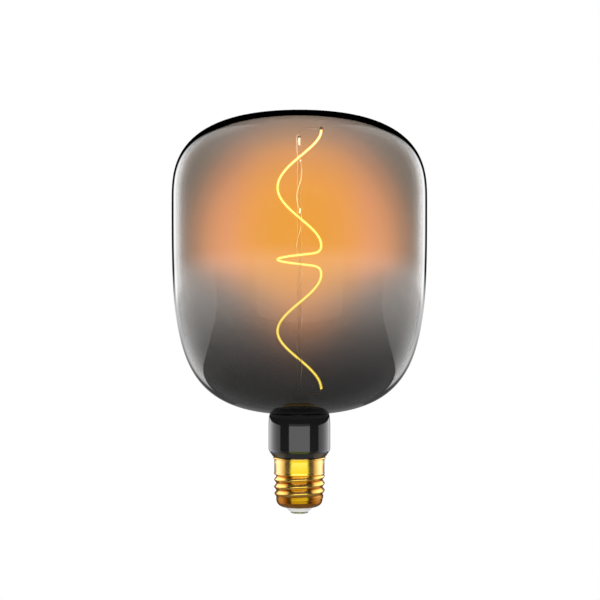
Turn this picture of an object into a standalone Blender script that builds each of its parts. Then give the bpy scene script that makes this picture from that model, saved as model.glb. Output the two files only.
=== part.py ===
"""Smart light bulb: a coated glass globe on a screw cap, lit by a spiral LED filament.

Metres, +Z up. The origin is the centre of the contact button's bottom face, +Z runs up the bulb's
axis, and the filament's two ends lie on the +X side. Radii are measured from that axis.
"""
import math

import bmesh
import bpy
from mathutils import Vector

# Gap kept between two pieces that touch on the real bulb.
FIT_GAP = 0.0003

# Glass globe.
OVERALL_HEIGHT = 0.2058
GLOBE_RADIUS = 0.0655
GLASS_WALL = 0.001
CROWN_HEIGHT = 0.0462        # from the widest place up to the top
CROWN_POWER_ACROSS = 2.54    # powers of the crown's superellipse
CROWN_POWER_UP = 2.84
BOWL_SIDE_PULL = 0.62        # how far the bowl's curve follows its side and its foot
BOWL_FOOT_PULL = 0.99
BOWL_FOOT_SLOPE = 0.097
NECK_RADIUS = 0.0133
NECK_FILLET = 0.0023
NECK_LENGTH = 0.0128

# Black collar.
COLLAR_TOP = 0.0511
COLLAR_WALL = 0.00145
COLLAR_CHAMFER_TOP = 0.0328
COLLAR_LIP = 0.0005
CEMENT_WALL = 0.0005
CEMENT_LENGTH = 0.009
SPIGOT_WALL = 0.0012
SPIGOT_LENGTH = 0.0077

# Screw shell: the common 27 mm thread.
THREAD_RADIUS = 0.01305
THREAD_PITCH = 0.003629
THREAD_DEPTH = 0.0011
THREAD_CREST_START = 0.0082  # height of the lowest crest on the +X side
THREAD_TOP = 0.0205
SHELL_WALL = 0.00035
SHELL_TOP = 0.0289
SHELL_LIP_FLARE = 0.00045
SHELL_FOOT = 0.0032
SHELL_FOOT_BEND = 0.0038
SHELL_FOOT_RADIUS = 0.0073

# Insulator and contact.
CONTACT_RADIUS = 0.0045
CONTACT_FLAT_RADIUS = 0.0038
CONTACT_THICKNESS = 0.00065
CONTACT_PIN_RADIUS = 0.0012
CONTACT_PIN_TOP = 0.0074
CONE_FOOT_RADIUS = 0.005
INSULATOR_FLANGE_INSET = 0.002   # from the shell's wall in to the flange
INSULATOR_TOP = 0.0068

# Glass stem inside the neck.
STEM_WALL = 0.0009
STEM_TUBE_RADIUS = 0.0055
STEM_FLANGE_THICKNESS = 0.0009
PINCH_FOOT = 0.0515
PINCH_TOP = 0.060
PINCH_HALF_THICKNESS = 0.0023
EXHAUST_RADIUS = 0.002
EXHAUST_WALL = 0.0008
EXHAUST_TOP = 0.049
LEAD_OFFSET = 0.0031
LEAD_RADIUS = 0.00025
LEAD_RISE = 0.0011           # an inner lead's rise above the pinch before it turns
LEAD_BEND = 0.0006           # sideways step of an inner lead's bends
SLEEVE_WALL = 0.0003
SLEEVE_LENGTH = 0.006

# Filament, its rod and its wires.
ROD_RADIUS = 0.001
CROWN_CLEARANCE = 0.0089     # from the top of the globe down to the filament's top end
COIL_RADIUS = 0.0113
COIL_TURNS = 3
COIL_FOOT_CLEARANCE = 0.0037  # from the pinch up to the filament's bottom end
COIL_MIDDLE_PITCH = 0.0082
COIL_BLEND_TURNS = 0.208     # how much of a turn the pitch takes to change
FILAMENT_RADIUS = 0.0007
TAB_LENGTH = 0.0022
TAB_WIDTH = 0.0013
TAB_THICKNESS = 0.0004
ROD_TOP_DROP = 0.008         # from the filament's top end down to the rod's top
BEAD_RADIUS = 0.0006
BEAD_LENGTH = 0.0037
RING_RADIUS = 0.00075
RING_THICKNESS = 0.0004
HOOK_RADIUS = 0.0002
RETURN_WIRE_RADIUS = 0.00015
RETURN_WIRE_PITCH = 0.0253
RETURN_WIRE_CREST = 0.1753   # height where the return wire passes the rod's +X side
RETURN_WIRE_TAIL = 0.0062    # from the pinch up to the wire's lower end

# Driver board and what is soldered to it.
BOARD_THICKNESS = 0.001
BOARD_MIDDLE_Y = 0.001
BOARD_FOOT = 0.0095
BOARD_TOP = 0.0352
BOARD_SIDE_GAP = 0.0006
CAPACITOR_RADIUS = 0.0031
CAPACITOR_LENGTH = 0.0105
CHOKE_RADIUS = 0.003
CHOKE_DRUM_RADIUS = 0.0013
CHOKE_FLANGE = 0.001
CHOKE_LENGTH = 0.008
LEG_GAP = 0.0006             # stand-off of the tall parts from the board
MODULE_SIZE = (0.0145, 0.0008, 0.0125)
MODULE_FOOT = 0.0222
SHIELD_SIZE = (0.0094, 0.0018, 0.0072)
ANTENNA_THICKNESS = 0.00015
ANTENNA_LINE = 0.0006
ANTENNA_HEIGHT = 0.0026
ANTENNA_TEETH = 5
ANTENNA_STEP = 0.0012
TRANSFORMER_SIZE = (0.0082, 0.0036, 0.0088)
TRANSFORMER_LEG = 0.0015
WINDING_DEPTH = 0.0050
FILM_CAPACITOR_SIZE = (0.0068, 0.0036, 0.0052)
FUSE_RADIUS = 0.0014
FUSE_LENGTH = 0.0062
RECTIFIER_SIZE = (0.0046, 0.0016, 0.0038)
DRIVER_CHIP_SIZE = (0.0049, 0.0016, 0.0039)
SMALL_CHIP_SIZE = (0.0030, 0.0011, 0.0016)
RECTIFIER_X = -0.0052
DRIVER_CHIP_X = 0.0038
SMALL_CHIP_X = -0.0008
CHIP_ROWS = (0.0012, 0.0024, 0.0040, 0.0052)  # middles of the chips above the film capacitor
SMALL_PART_SIZE = (0.00125, 0.0006, 0.0020)
SMALL_PART_PITCH = 0.0030
WIRE_BEND = 0.0004
NEUTRAL_JOINT = 0.0045       # above the board's foot, where the neutral wire meets the shell
CHIP_EDGE = 0.00015          # bevels of moulded and cut edges
CAN_EDGE = 0.0003
TAPE_EDGE = 0.0006
WIRE_RADIUS = 0.0005

SEGMENTS = 48                # facets round the globe and the cap
SMALL_SEGMENTS = 24          # facets round the small turned parts

# Sizes that follow from the ones above.
BORE_RADIUS = THREAD_RADIUS - SHELL_WALL - FIT_GAP - SPIGOT_WALL
SHELL_LIP_RADIUS = THREAD_RADIUS + SHELL_LIP_FLARE
SHELL_ROOT_BORE = THREAD_RADIUS - THREAD_DEPTH - SHELL_WALL
INSULATOR_FLANGE_RADIUS = SHELL_ROOT_BORE - INSULATOR_FLANGE_INSET
COLLAR_INNER_RADIUS = NECK_RADIUS + FIT_GAP + CEMENT_WALL + FIT_GAP
COLLAR_RADIUS = COLLAR_INNER_RADIUS + COLLAR_WALL
COLLAR_FOOT = SHELL_TOP + FIT_GAP
BOWL_FOOT_RADIUS = NECK_RADIUS + NECK_FILLET
BOWL_FOOT_HEIGHT = COLLAR_TOP + COLLAR_LIP
NECK_FOOT = BOWL_FOOT_HEIGHT - NECK_FILLET - NECK_LENGTH
COIL_TOP = OVERALL_HEIGHT - CROWN_CLEARANCE
COIL_FOOT = PINCH_TOP + COIL_FOOT_CLEARANCE
ROD_TOP = COIL_TOP - ROD_TOP_DROP
BEAD_TOP = ROD_TOP + FIT_GAP + BEAD_LENGTH
RING_TOP = BEAD_TOP + FIT_GAP + RING_THICKNESS
RETURN_WIRE_LOOP = ROD_RADIUS + RETURN_WIRE_RADIUS + FIT_GAP * 2 / 3
RETURN_WIRE_FOOT = PINCH_TOP + RETURN_WIRE_TAIL
BOARD_FRONT = BOARD_MIDDLE_Y - BOARD_THICKNESS / 2
BOARD_BACK = BOARD_MIDDLE_Y + BOARD_THICKNESS / 2
MODULE_BACK = BOARD_FRONT - FIT_GAP
MODULE_FRONT = MODULE_BACK - MODULE_SIZE[1]


# ---------------------------------------------------------------- modelling helpers

def clear_scene():
    """Start from an empty scene."""
    for item in list(bpy.data.objects):
        bpy.data.objects.remove(item, do_unlink=True)


def finish(name, colour, roughness, metallic=0.0, transmission=0.0):
    """Return a plain Principled material."""
    material = bpy.data.materials.new(name)
    material.use_nodes = True
    shader = material.node_tree.nodes["Principled BSDF"]
    shader.inputs["Base Color"].default_value = (*colour, 1.0)
    shader.inputs["Roughness"].default_value = roughness
    shader.inputs["Metallic"].default_value = metallic
    shader.inputs["Transmission Weight"].default_value = transmission
    material.diffuse_color = (*colour, 1.0)
    return material


def place(name, data, material, location=(0, 0, 0)):
    """Link an object that holds this mesh or curve."""
    data.materials.append(material)
    item = bpy.data.objects.new(name, data)
    item.location = location
    bpy.context.scene.collection.objects.link(item)
    return item


def solid(name, shape, material, location=(0, 0, 0)):
    """Turn a closed bmesh into an object, faces out and round parts smooth."""
    bmesh.ops.recalc_face_normals(shape, faces=shape.faces)
    if shape.calc_volume(signed=True) < 0:
        bmesh.ops.reverse_faces(shape, faces=shape.faces)
    mesh = bpy.data.meshes.new(name)
    shape.to_mesh(mesh)
    shape.free()
    mesh.shade_smooth()
    mesh.set_sharp_from_angle(angle=math.radians(35))
    return place(name, mesh, material, location)


def turned(name, outline, material, segments=SMALL_SEGMENTS, location=(0, 0, 0)):
    """Turn a closed (radius, height) outline about Z; its ends may both lie on the axis."""
    shape = bmesh.new()
    corners = [shape.verts.new((radius, 0, height)) for radius, height in outline]
    edges = [shape.edges.new(pair) for pair in zip(corners, corners[1:])]
    if outline[0][0] > 0 or outline[-1][0] > 0:
        edges.append(shape.edges.new((corners[-1], corners[0])))
    bmesh.ops.spin(shape, geom=corners + edges, cent=(0, 0, 0), axis=(0, 0, 1),
                   angle=math.tau, steps=segments, use_merge=True)
    bmesh.ops.remove_doubles(shape, verts=shape.verts, dist=1e-7)
    return solid(name, shape, material, location)


def lofted(name, rings, material, capped):
    """Join rings of equal point counts; close the ends with faces, or join last to first."""
    shape = bmesh.new()
    loops = [[shape.verts.new(point) for point in ring] for ring in rings]
    following = loops[1:] if capped else loops[1:] + loops[:1]
    for lower, upper in zip(loops, following):
        for i in range(len(lower)):
            j = (i + 1) % len(lower)
            shape.faces.new((lower[i], lower[j], upper[j], upper[i]))
    if capped:
        shape.faces.new(loops[0])
        shape.faces.new(loops[-1])
    return solid(name, shape, material)


def ring_points(radius_x, radius_y, height, segments):
    """Points round an ellipse that lies flat at this height."""
    turns = [math.tau * i / segments for i in range(segments)]
    return [(radius_x * math.cos(t), radius_y * math.sin(t), height) for t in turns]


def block(name, size, centre, material, edge=0.0002):
    """A box with its edges bevelled by edge."""
    shape = bmesh.new()
    bmesh.ops.create_cube(shape, size=1.0)
    bmesh.ops.scale(shape, vec=size, verts=shape.verts)
    bmesh.ops.bevel(shape, geom=shape.edges, offset=edge, segments=1, affect='EDGES')
    return solid(name, shape, material, centre)


def wire(name, points, radius, material, resolution=2):
    """A round wire with closed ends along these points."""
    curve = bpy.data.curves.new(name, 'CURVE')
    curve.dimensions = '3D'
    curve.bevel_depth = radius
    curve.bevel_resolution = resolution
    curve.use_fill_caps = True
    spline = curve.splines.new('POLY')
    spline.points.add(len(points) - 1)
    for knot, point in zip(spline.points, points):
        knot.co = (*point, 1.0)
    return place(name, curve, material)


def smooth_path(knots, steps=5):
    """Points along a Catmull-Rom curve through the knots."""
    knots = [Vector(knot) for knot in knots]
    ends = [2 * knots[0] - knots[1]] + knots + [2 * knots[-1] - knots[-2]]
    path = []
    for a, b, c, d in zip(ends, ends[1:], ends[2:], ends[3:]):
        for i in range(steps):
            t = i / steps
            path.append(0.5 * (2 * b + (c - a) * t + (2 * a - 5 * b + 4 * c - d) * t ** 2
                               + (3 * b - a - 3 * c + d) * t ** 3))
    path.append(knots[-1])
    return path


# ---------------------------------------------------------------- glass globe

def crown_points(steps):
    """Superellipse from the top of the globe out to its widest place."""
    points = [(0.0, OVERALL_HEIGHT)]
    for i in range(1, steps + 1):
        turn = math.pi / 2 * (1 - i / steps)
        radius = GLOBE_RADIUS * math.cos(turn) ** (2 / CROWN_POWER_ACROSS)
        rise = CROWN_HEIGHT * math.sin(turn) ** (2 / CROWN_POWER_UP)
        points.append((radius, OVERALL_HEIGHT - CROWN_HEIGHT + rise))
    return points


def bowl_points(steps):
    """Bezier curve from the widest place down and in to the foot of the bowl."""
    top = OVERALL_HEIGHT - CROWN_HEIGHT
    side_pull = BOWL_SIDE_PULL * (top - BOWL_FOOT_HEIGHT)
    foot_pull = BOWL_FOOT_PULL * (GLOBE_RADIUS - BOWL_FOOT_RADIUS)
    a = Vector((GLOBE_RADIUS, top))
    b = Vector((GLOBE_RADIUS, top - side_pull))
    c = Vector((BOWL_FOOT_RADIUS + foot_pull, BOWL_FOOT_HEIGHT + foot_pull * BOWL_FOOT_SLOPE))
    d = Vector((BOWL_FOOT_RADIUS, BOWL_FOOT_HEIGHT))
    points = []
    for i in range(1, steps + 1):
        t = i / steps
        s = 1 - t
        points.append(tuple(s ** 3 * a + 3 * s * s * t * b + 3 * s * t * t * c + t ** 3 * d))
    return points


def neck_points(steps):
    """Fillet from the bowl's foot into the straight neck, and the neck down to its end."""
    points = []
    for i in range(1, steps + 1):
        turn = math.pi / 2 * (1 + i / steps)
        points.append((BOWL_FOOT_RADIUS + NECK_FILLET * math.cos(turn),
                       BOWL_FOOT_HEIGHT - NECK_FILLET + NECK_FILLET * math.sin(turn)))
    points.append((NECK_RADIUS, NECK_FOOT))
    return points


def offset_inwards(outline, wall):
    """The outline moved in by the wall, square to itself; it starts on the axis."""
    moved = [(0.0, outline[0][1] - wall)]
    for before, here, after in zip(outline, outline[1:], outline[2:]):
        along = (Vector(after) - Vector(before)).normalized()
        moved.append((here[0] + wall * along.y, here[1] - wall * along.x))
    moved.append((outline[-1][0] - wall, outline[-1][1]))
    return moved


def glass_envelope():
    """Blown globe, open at the neck, where the stem closes it."""
    outside = crown_points(12) + bowl_points(12) + neck_points(3)
    inside = offset_inwards(outside, GLASS_WALL)
    glass = finish("amber_coated_glass", (0.55, 0.33, 0.18), 0.05, transmission=0.6)
    turned("glass_envelope", outside + inside[::-1], glass, SEGMENTS)


# ---------------------------------------------------------------- collar and cap

def collar():
    """Black collar round the neck, with a spigot that plugs into the screw shell."""
    spigot_radius = BORE_RADIUS + SPIGOT_WALL
    step = COLLAR_LIP
    outline = [
        (COLLAR_RADIUS, COLLAR_TOP - step),
        (COLLAR_RADIUS, COLLAR_CHAMFER_TOP),
        (SHELL_LIP_RADIUS, COLLAR_FOOT),
        (spigot_radius, COLLAR_FOOT),
        (spigot_radius, COLLAR_FOOT - SPIGOT_LENGTH),
        (BORE_RADIUS, COLLAR_FOOT - SPIGOT_LENGTH),
        (BORE_RADIUS, COLLAR_CHAMFER_TOP - 2 * step),
        (COLLAR_INNER_RADIUS, COLLAR_CHAMFER_TOP + 2 * step),
        (COLLAR_INNER_RADIUS, COLLAR_TOP - 2 * step),
        (COLLAR_INNER_RADIUS + step, COLLAR_TOP - step / 2),
        (COLLAR_INNER_RADIUS + 2 * step, COLLAR_TOP),
        (COLLAR_RADIUS - step, COLLAR_TOP),
    ]
    turned("collar", outline, finish("black_gloss_plastic", (0.012, 0.012, 0.013), 0.12), SEGMENTS)


def neck_cement():
    """Cement ring between the glass neck and the collar."""
    inner = NECK_RADIUS + FIT_GAP
    outer = inner + CEMENT_WALL
    top = BOWL_FOOT_HEIGHT - NECK_FILLET
    outline = [(outer, top), (outer, top - CEMENT_LENGTH), (inner, top - CEMENT_LENGTH), (inner, top)]
    turned("neck_cement", outline, finish("grey_cement", (0.45, 0.43, 0.40), 0.9), SEGMENTS)


def shell_ring(height, radius_at):
    """Points round the shell at one height, with a radius that may change round the ring."""
    turns = [math.tau * i / SEGMENTS for i in range(SEGMENTS)]
    return [(radius_at(t) * math.cos(t), radius_at(t) * math.sin(t), height) for t in turns]


def thread_radius(turn, height):
    """Outer radius of the rolled right-hand thread, fading out at both ends."""
    phase = math.tau * (height - THREAD_CREST_START) / THREAD_PITCH - turn
    groove = THREAD_DEPTH * (0.5 - 0.5 * math.cos(phase))
    foot = SHELL_FOOT + SHELL_FOOT_BEND
    fade_in = min(1.0, (height - foot) / THREAD_PITCH)
    fade_out = min(1.0, (THREAD_TOP - height) / (THREAD_PITCH / 4))
    start = THREAD_RADIUS - THREAD_DEPTH * (1 - fade_in)
    return start - groove * fade_in * fade_out


def screw_shell():
    """Rolled shell: bent-in foot, right-hand thread, plain skirt and a flared lip."""
    foot = SHELL_FOOT + SHELL_FOOT_BEND
    root = THREAD_RADIUS - THREAD_DEPTH
    rings = []
    for i in range(6):
        turn = math.pi / 2 * (1 - i / 5)
        radius = SHELL_FOOT_RADIUS + (root - SHELL_FOOT_RADIUS) * math.cos(turn)
        rings.append(shell_ring(foot - SHELL_FOOT_BEND * math.sin(turn), lambda t, r=radius: r))
    rows = 7 * round((THREAD_TOP - foot) / THREAD_PITCH)
    for i in range(1, rows + 1):
        height = foot + (THREAD_TOP - foot) * i / rows
        rings.append(shell_ring(height, lambda t, h=height: thread_radius(t, h)))
    lip = SHELL_LIP_FLARE
    skirt_inner = THREAD_RADIUS - SHELL_WALL
    plain = [
        (SHELL_TOP - 3 * lip, THREAD_RADIUS),
        (SHELL_TOP - lip, SHELL_LIP_RADIUS),
        (SHELL_TOP, SHELL_LIP_RADIUS),
        (SHELL_TOP, skirt_inner),
        (THREAD_TOP + SHELL_WALL, skirt_inner),
        (THREAD_TOP, SHELL_ROOT_BORE),
        (foot, SHELL_ROOT_BORE),
    ]
    for height, radius in plain:
        rings.append(shell_ring(height, lambda t, r=radius: r))
    for i in range(1, 5):
        turn = math.pi / 2 * i / 4
        radius = SHELL_FOOT_RADIUS + (SHELL_ROOT_BORE - SHELL_FOOT_RADIUS) * math.cos(turn)
        drop = (SHELL_FOOT_BEND - SHELL_WALL) * math.sin(turn)
        rings.append(shell_ring(foot - drop, lambda t, r=radius: r))
    lofted("screw_shell", rings, finish("gold_brass", (0.83, 0.58, 0.20), 0.22, 1.0), capped=False)


def shell_insulator():
    """Pale cone that carries the contact, flanged inside the shell."""
    bore = CONTACT_PIN_RADIUS + FIT_GAP
    foot = CONTACT_THICKNESS + FIT_GAP
    waist = SHELL_FOOT_RADIUS - FIT_GAP
    shoulder = SHELL_FOOT + SHELL_FOOT_BEND / 4
    outline = [
        (CONE_FOOT_RADIUS, foot),
        (bore, foot),
        (bore, INSULATOR_TOP),
        (INSULATOR_FLANGE_RADIUS, INSULATOR_TOP),
        (INSULATOR_FLANGE_RADIUS, shoulder + SHELL_FOOT_BEND / 3),
        ((INSULATOR_FLANGE_RADIUS + waist) / 2, shoulder + SHELL_WALL),
        (waist, shoulder),
        (waist, SHELL_FOOT),
    ]
    turned("shell_insulator", outline, finish("white_insulator", (0.78, 0.78, 0.76), 0.35), SEGMENTS)


def centre_contact():
    """Contact button with the pin that takes the live wire."""
    round_in = CONTACT_RADIUS - CONTACT_FLAT_RADIUS
    outline = [
        (0.0, 0.0),
        (CONTACT_FLAT_RADIUS, 0.0),
        (CONTACT_RADIUS - round_in / 4, CONTACT_THICKNESS * 0.3),
        (CONTACT_RADIUS, CONTACT_THICKNESS * 0.75),
        (CONTACT_RADIUS, CONTACT_THICKNESS),
        (CONTACT_PIN_RADIUS, CONTACT_THICKNESS),
        (CONTACT_PIN_RADIUS, CONTACT_PIN_TOP),
        (0.0, CONTACT_PIN_TOP),
    ]
    turned("centre_contact", outline, finish("tinned_contact", (0.62, 0.62, 0.60), 0.35, 1.0))


# ---------------------------------------------------------------- stem and its leads

def stem_flare():
    """Glass stem: a flange in the neck, a tube, and the flat pinch that seals the leads."""
    flange = NECK_RADIUS - GLASS_WALL - FIT_GAP
    foot = NECK_FOOT + FIT_GAP
    tube = STEM_TUBE_RADIUS
    height = PINCH_FOOT - foot
    # (radius, height) of the trumpet, from the flange up to the foot of the pinch
    trumpet = []
    for share in (0.0, 0.06, 0.16, 0.30, 0.55, 0.85):
        trumpet.append((tube + (flange - tube) * (1 - share) ** 6, foot + height * share))
    rings = [ring_points(r - STEM_WALL, r - STEM_WALL, z, SMALL_SEGMENTS) for r, z in trumpet[::-1]]
    rings += [ring_points(r, r, z + STEM_FLANGE_THICKNESS * (i == 0) / 2, SMALL_SEGMENTS)
              for i, (r, z) in enumerate(trumpet)]
    rings.append(ring_points(tube, PINCH_HALF_THICKNESS * 1.6, PINCH_FOOT, SMALL_SEGMENTS))
    rings.append(ring_points(tube, PINCH_HALF_THICKNESS, PINCH_FOOT + tube / 3, SMALL_SEGMENTS))
    rings.append(ring_points(tube, PINCH_HALF_THICKNESS, PINCH_TOP - tube / 5, SMALL_SEGMENTS))
    rings.append(ring_points(tube * 0.85, PINCH_HALF_THICKNESS * 0.7, PINCH_TOP, SMALL_SEGMENTS))
    lofted("stem_flare", rings, finish("clear_stem_glass", (0.8, 0.85, 0.85), 0.05, transmission=0.9),
           capped=True)


def exhaust_tube():
    """Pumping tube inside the stem, melted shut at its lower end."""
    foot = NECK_FOOT + FIT_GAP
    inner = EXHAUST_RADIUS - EXHAUST_WALL
    outline = [
        (0.0, foot),
        (EXHAUST_RADIUS * 0.7, foot + EXHAUST_RADIUS * 0.3),
        (EXHAUST_RADIUS, foot + EXHAUST_RADIUS),
        (EXHAUST_RADIUS, EXHAUST_TOP),
        (inner, EXHAUST_TOP),
        (inner, foot + 2 * EXHAUST_RADIUS),
        (0.0, foot + 1.5 * EXHAUST_RADIUS),
    ]
    turned("exhaust_tube", outline, finish("tube_glass", (0.8, 0.85, 0.85), 0.05, transmission=0.9), 16)


def lead_sleeves():
    """Insulating sleeves over the two leads where they leave the stem."""
    white = finish("white_sleeve", (0.80, 0.79, 0.75), 0.5)
    inner = LEAD_RADIUS + FIT_GAP
    outer = inner + SLEEVE_WALL
    foot = NECK_FOOT
    top = foot + SLEEVE_LENGTH
    outline = [(outer, top), (outer, foot), (inner, foot), (inner, top)]
    for side, word in ((-1, "left"), (1, "right")):
        turned("lead_sleeve_" + word, outline, white, 12, (side * LEAD_OFFSET, 0, 0))


def stem_leads():
    """Leads from the board up through the stem, and on from the pinch to the wires above."""
    nickel = finish("nickel_wire", (0.62, 0.60, 0.55), 0.3, 1.0)
    low = PINCH_FOOT - STEM_TUBE_RADIUS
    for side, word in ((-1, "left"), (1, "right")):
        x = side * LEAD_OFFSET
        wire("lead_wire_" + word, [(x, 0, BOARD_TOP + FIT_GAP), (x, 0, NECK_FOOT), (x, 0, low)],
             LEAD_RADIUS, nickel)
    start = PINCH_TOP + FIT_GAP
    weld = return_wire_point(RETURN_WIRE_FOOT)
    beside = 1 + (LEAD_RADIUS + RETURN_WIRE_RADIUS + FIT_GAP) / RETURN_WIRE_LOOP
    left = [(-LEAD_OFFSET, 0, start),
            (-LEAD_OFFSET, weld.y * 0.2, start + 1.3 * LEAD_RISE),
            (weld.x * beside - LEAD_BEND, weld.y * beside, weld.z - 1.8 * LEAD_RISE),
            (weld.x * beside, weld.y * beside, weld.z + 0.7 * LEAD_RISE)]
    wire("inner_lead_left", smooth_path(left, 4), LEAD_RADIUS, nickel)
    tip = coil_point(-COIL_TURNS) - coil_direction(-COIL_TURNS) * (TAB_LENGTH + 4 * FIT_GAP)
    right = [(LEAD_OFFSET, 0, start),
             (LEAD_OFFSET + LEAD_BEND, 0, start + 0.9 * LEAD_RISE),
             (tip.x * 0.62, tip.y * 0.5, start + LEAD_RISE),
             (tip.x - 2 * LEAD_BEND, tip.y, tip.z),
             (tip.x, tip.y, tip.z)]
    wire("inner_lead_right", smooth_path(right, 4), LEAD_RADIUS, nickel)


# ---------------------------------------------------------------- filament and its support

def coil_drop(turns, outer_pitch):
    """How far the coil has come down after this many turns: steep, flat, then steep again."""
    steps = 240
    flat_start = (COIL_TURNS - 1) / 2
    flat_end = (COIL_TURNS + 1) / 2
    drop = 0.0
    for i in range(steps):
        at = turns * (i + 0.5) / steps
        into = min(1.0, max(0.0, (at - flat_start) / COIL_BLEND_TURNS + 0.2))
        out = min(1.0, max(0.0, (at - flat_end) / COIL_BLEND_TURNS + 0.8))
        flat = into * into * (3 - 2 * into) - out * out * (3 - 2 * out)
        drop += (outer_pitch + (COIL_MIDDLE_PITCH - outer_pitch) * flat) * turns / steps
    return drop


def outer_pitch():
    """Pitch of the steep turns that makes the coil reach from its top to its foot."""
    rest = coil_drop(COIL_TURNS, 0.0)
    per_pitch = coil_drop(COIL_TURNS, 1.0) - rest
    return (COIL_TOP - COIL_FOOT - rest) / per_pitch


COIL_OUTER_PITCH = outer_pitch()


def coil_point(turns):
    """Point on the right-hand coil; turns is 0 at the top end and -COIL_TURNS at the foot."""
    angle = math.tau * turns
    return Vector((COIL_RADIUS * math.cos(angle), COIL_RADIUS * math.sin(angle),
                   COIL_TOP - coil_drop(-turns, COIL_OUTER_PITCH)))


def coil_direction(turns):
    """Unit vector along the coil, pointing up it."""
    step = 0.002
    return (coil_point(turns + step) - coil_point(turns - step)).normalized()


def filament():
    """Flexible LED filament, wound as a spiral of three turns."""
    count = 64
    points = [coil_point(-COIL_TURNS * i / (count - 1)) for i in range(count)]
    wire("filament", points, FILAMENT_RADIUS, finish("led_phosphor", (1.0, 0.78, 0.30), 0.4))


def filament_tab(name, turns, sign):
    """Flat metal lug that carries on from one end of the filament."""
    along = coil_direction(turns) * sign
    centre = coil_point(turns) + along * (TAB_LENGTH / 2 + FIT_GAP)
    steel = finish(name + "_steel", (0.70, 0.68, 0.62), 0.3, 1.0)
    tab = block(name, (TAB_WIDTH, TAB_THICKNESS, TAB_LENGTH), centre, steel, TAB_THICKNESS / 4)
    tab.rotation_mode = 'QUATERNION'
    tab.rotation_quaternion = along.to_track_quat('Z', 'Y')


def support_rod():
    """Glass rod from the pinch up to the bead."""
    end = ROD_RADIUS * 0.3
    foot = PINCH_TOP + FIT_GAP
    outline = [(0.0, foot), (ROD_RADIUS - end, foot), (ROD_RADIUS, foot + end),
               (ROD_RADIUS, ROD_TOP - end), (ROD_RADIUS - end, ROD_TOP), (0.0, ROD_TOP)]
    turned("support_rod", outline, finish("rod_glass", (0.85, 0.86, 0.84), 0.05, transmission=0.9), 12)


def rod_tip():
    """White bead on the rod's tip, and the ring above it."""
    end = BEAD_RADIUS * 0.3
    foot = ROD_TOP + FIT_GAP
    outline = [(0.0, foot), (BEAD_RADIUS - end, foot), (BEAD_RADIUS, foot + end),
               (BEAD_RADIUS, BEAD_TOP - end), (BEAD_RADIUS - end, BEAD_TOP), (0.0, BEAD_TOP)]
    turned("rod_bead", outline, finish("white_ceramic", (0.85, 0.84, 0.80), 0.3), 12)
    low = RING_TOP - RING_THICKNESS
    outline = [(0.0, low), (RING_RADIUS, low), (RING_RADIUS, RING_TOP), (0.0, RING_TOP)]
    turned("bead_ring", outline, finish("dark_steel", (0.10, 0.09, 0.08), 0.35, 1.0), 12)


def top_hook_wire():
    """Bent wire from the tip of the rod over to the filament's top end."""
    end = coil_point(0) + Vector((-FILAMENT_RADIUS - HOOK_RADIUS - FIT_GAP, 0, FILAMENT_RADIUS * 0.6))
    rise = COIL_TOP + FILAMENT_RADIUS
    start = RING_TOP + FIT_GAP
    knots = [(0, 0, start), (0, 0, start + (rise - start) * 0.45),
             (COIL_RADIUS * 0.20, 0, rise - HOOK_RADIUS), (COIL_RADIUS * 0.58, 0, rise + HOOK_RADIUS),
             tuple(end)]
    nickel = finish("hook_nickel", (0.6, 0.58, 0.5), 0.3, 1.0)
    wire("top_hook_wire", smooth_path(knots, 4), HOOK_RADIUS, nickel, 1)


def return_wire_point(height, radius=RETURN_WIRE_LOOP):
    """Point at this height on the wire's right-handed helix round the rod."""
    angle = math.tau * (height - RETURN_WIRE_CREST) / RETURN_WIRE_PITCH
    return Vector((radius * math.cos(angle), radius * math.sin(angle), height))


def return_wire():
    """Fine wire from the hook wire, past the ring and round the rod down to the left inner lead."""
    steps = round((ROD_TOP - RETURN_WIRE_FOOT) / RETURN_WIRE_PITCH * 12)
    points = [return_wire_point(RETURN_WIRE_FOOT + (ROD_TOP - RETURN_WIRE_FOOT) * i / steps)
              for i in range(steps + 1)]
    past_ring = max(RING_RADIUS + FIT_GAP, ROD_RADIUS) + RETURN_WIRE_RADIUS
    beside_hook = HOOK_RADIUS + FIT_GAP + RETURN_WIRE_RADIUS
    points.append(return_wire_point(RING_TOP - RING_THICKNESS, past_ring))
    points.append(return_wire_point(RING_TOP + FIT_GAP, past_ring))
    points.append(return_wire_point(RING_TOP + BEAD_RADIUS + FIT_GAP, beside_hook))
    copper = finish("fine_copper", (0.7, 0.5, 0.35), 0.3, 1.0)
    wire("return_wire", points, RETURN_WIRE_RADIUS, copper, 1)


# ---------------------------------------------------------------- driver electronics

def driver_board():
    """Upright circuit board, as wide as the collar's spigot lets it be."""
    reach = abs(BOARD_BACK)
    half_width = math.sqrt((BORE_RADIUS - BOARD_SIDE_GAP) ** 2 - reach ** 2)
    size = (2 * half_width, BOARD_THICKNESS, BOARD_TOP - BOARD_FOOT)
    centre = (0, BOARD_MIDDLE_Y, (BOARD_TOP + BOARD_FOOT) / 2)
    block("driver_board", size, centre, finish("green_board", (0.02, 0.16, 0.07), 0.4), CHIP_EDGE)


def electrolytic_capacitor():
    """Upright can with a crimp groove and a scored top."""
    r = CAPACITOR_RADIUS
    top = CAPACITOR_LENGTH
    outline = [(0.0, 0.0), (r * 0.9, 0.0), (r, r * 0.12), (r, r * 0.4), (r * 0.9, r * 0.5),
               (r, r * 0.6), (r, top - r * 0.1), (r * 0.9, top), (r * 0.75, top),
               (r * 0.7, top - r * 0.08), (0.0, top - r * 0.08)]
    centre = (-r - FIT_GAP, BOARD_FRONT - LEG_GAP - r, BOARD_FOOT + LEG_GAP)
    turned("electrolytic_capacitor", outline, finish("capacitor_sleeve", (0.03, 0.04, 0.09), 0.3),
           location=centre)


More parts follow.
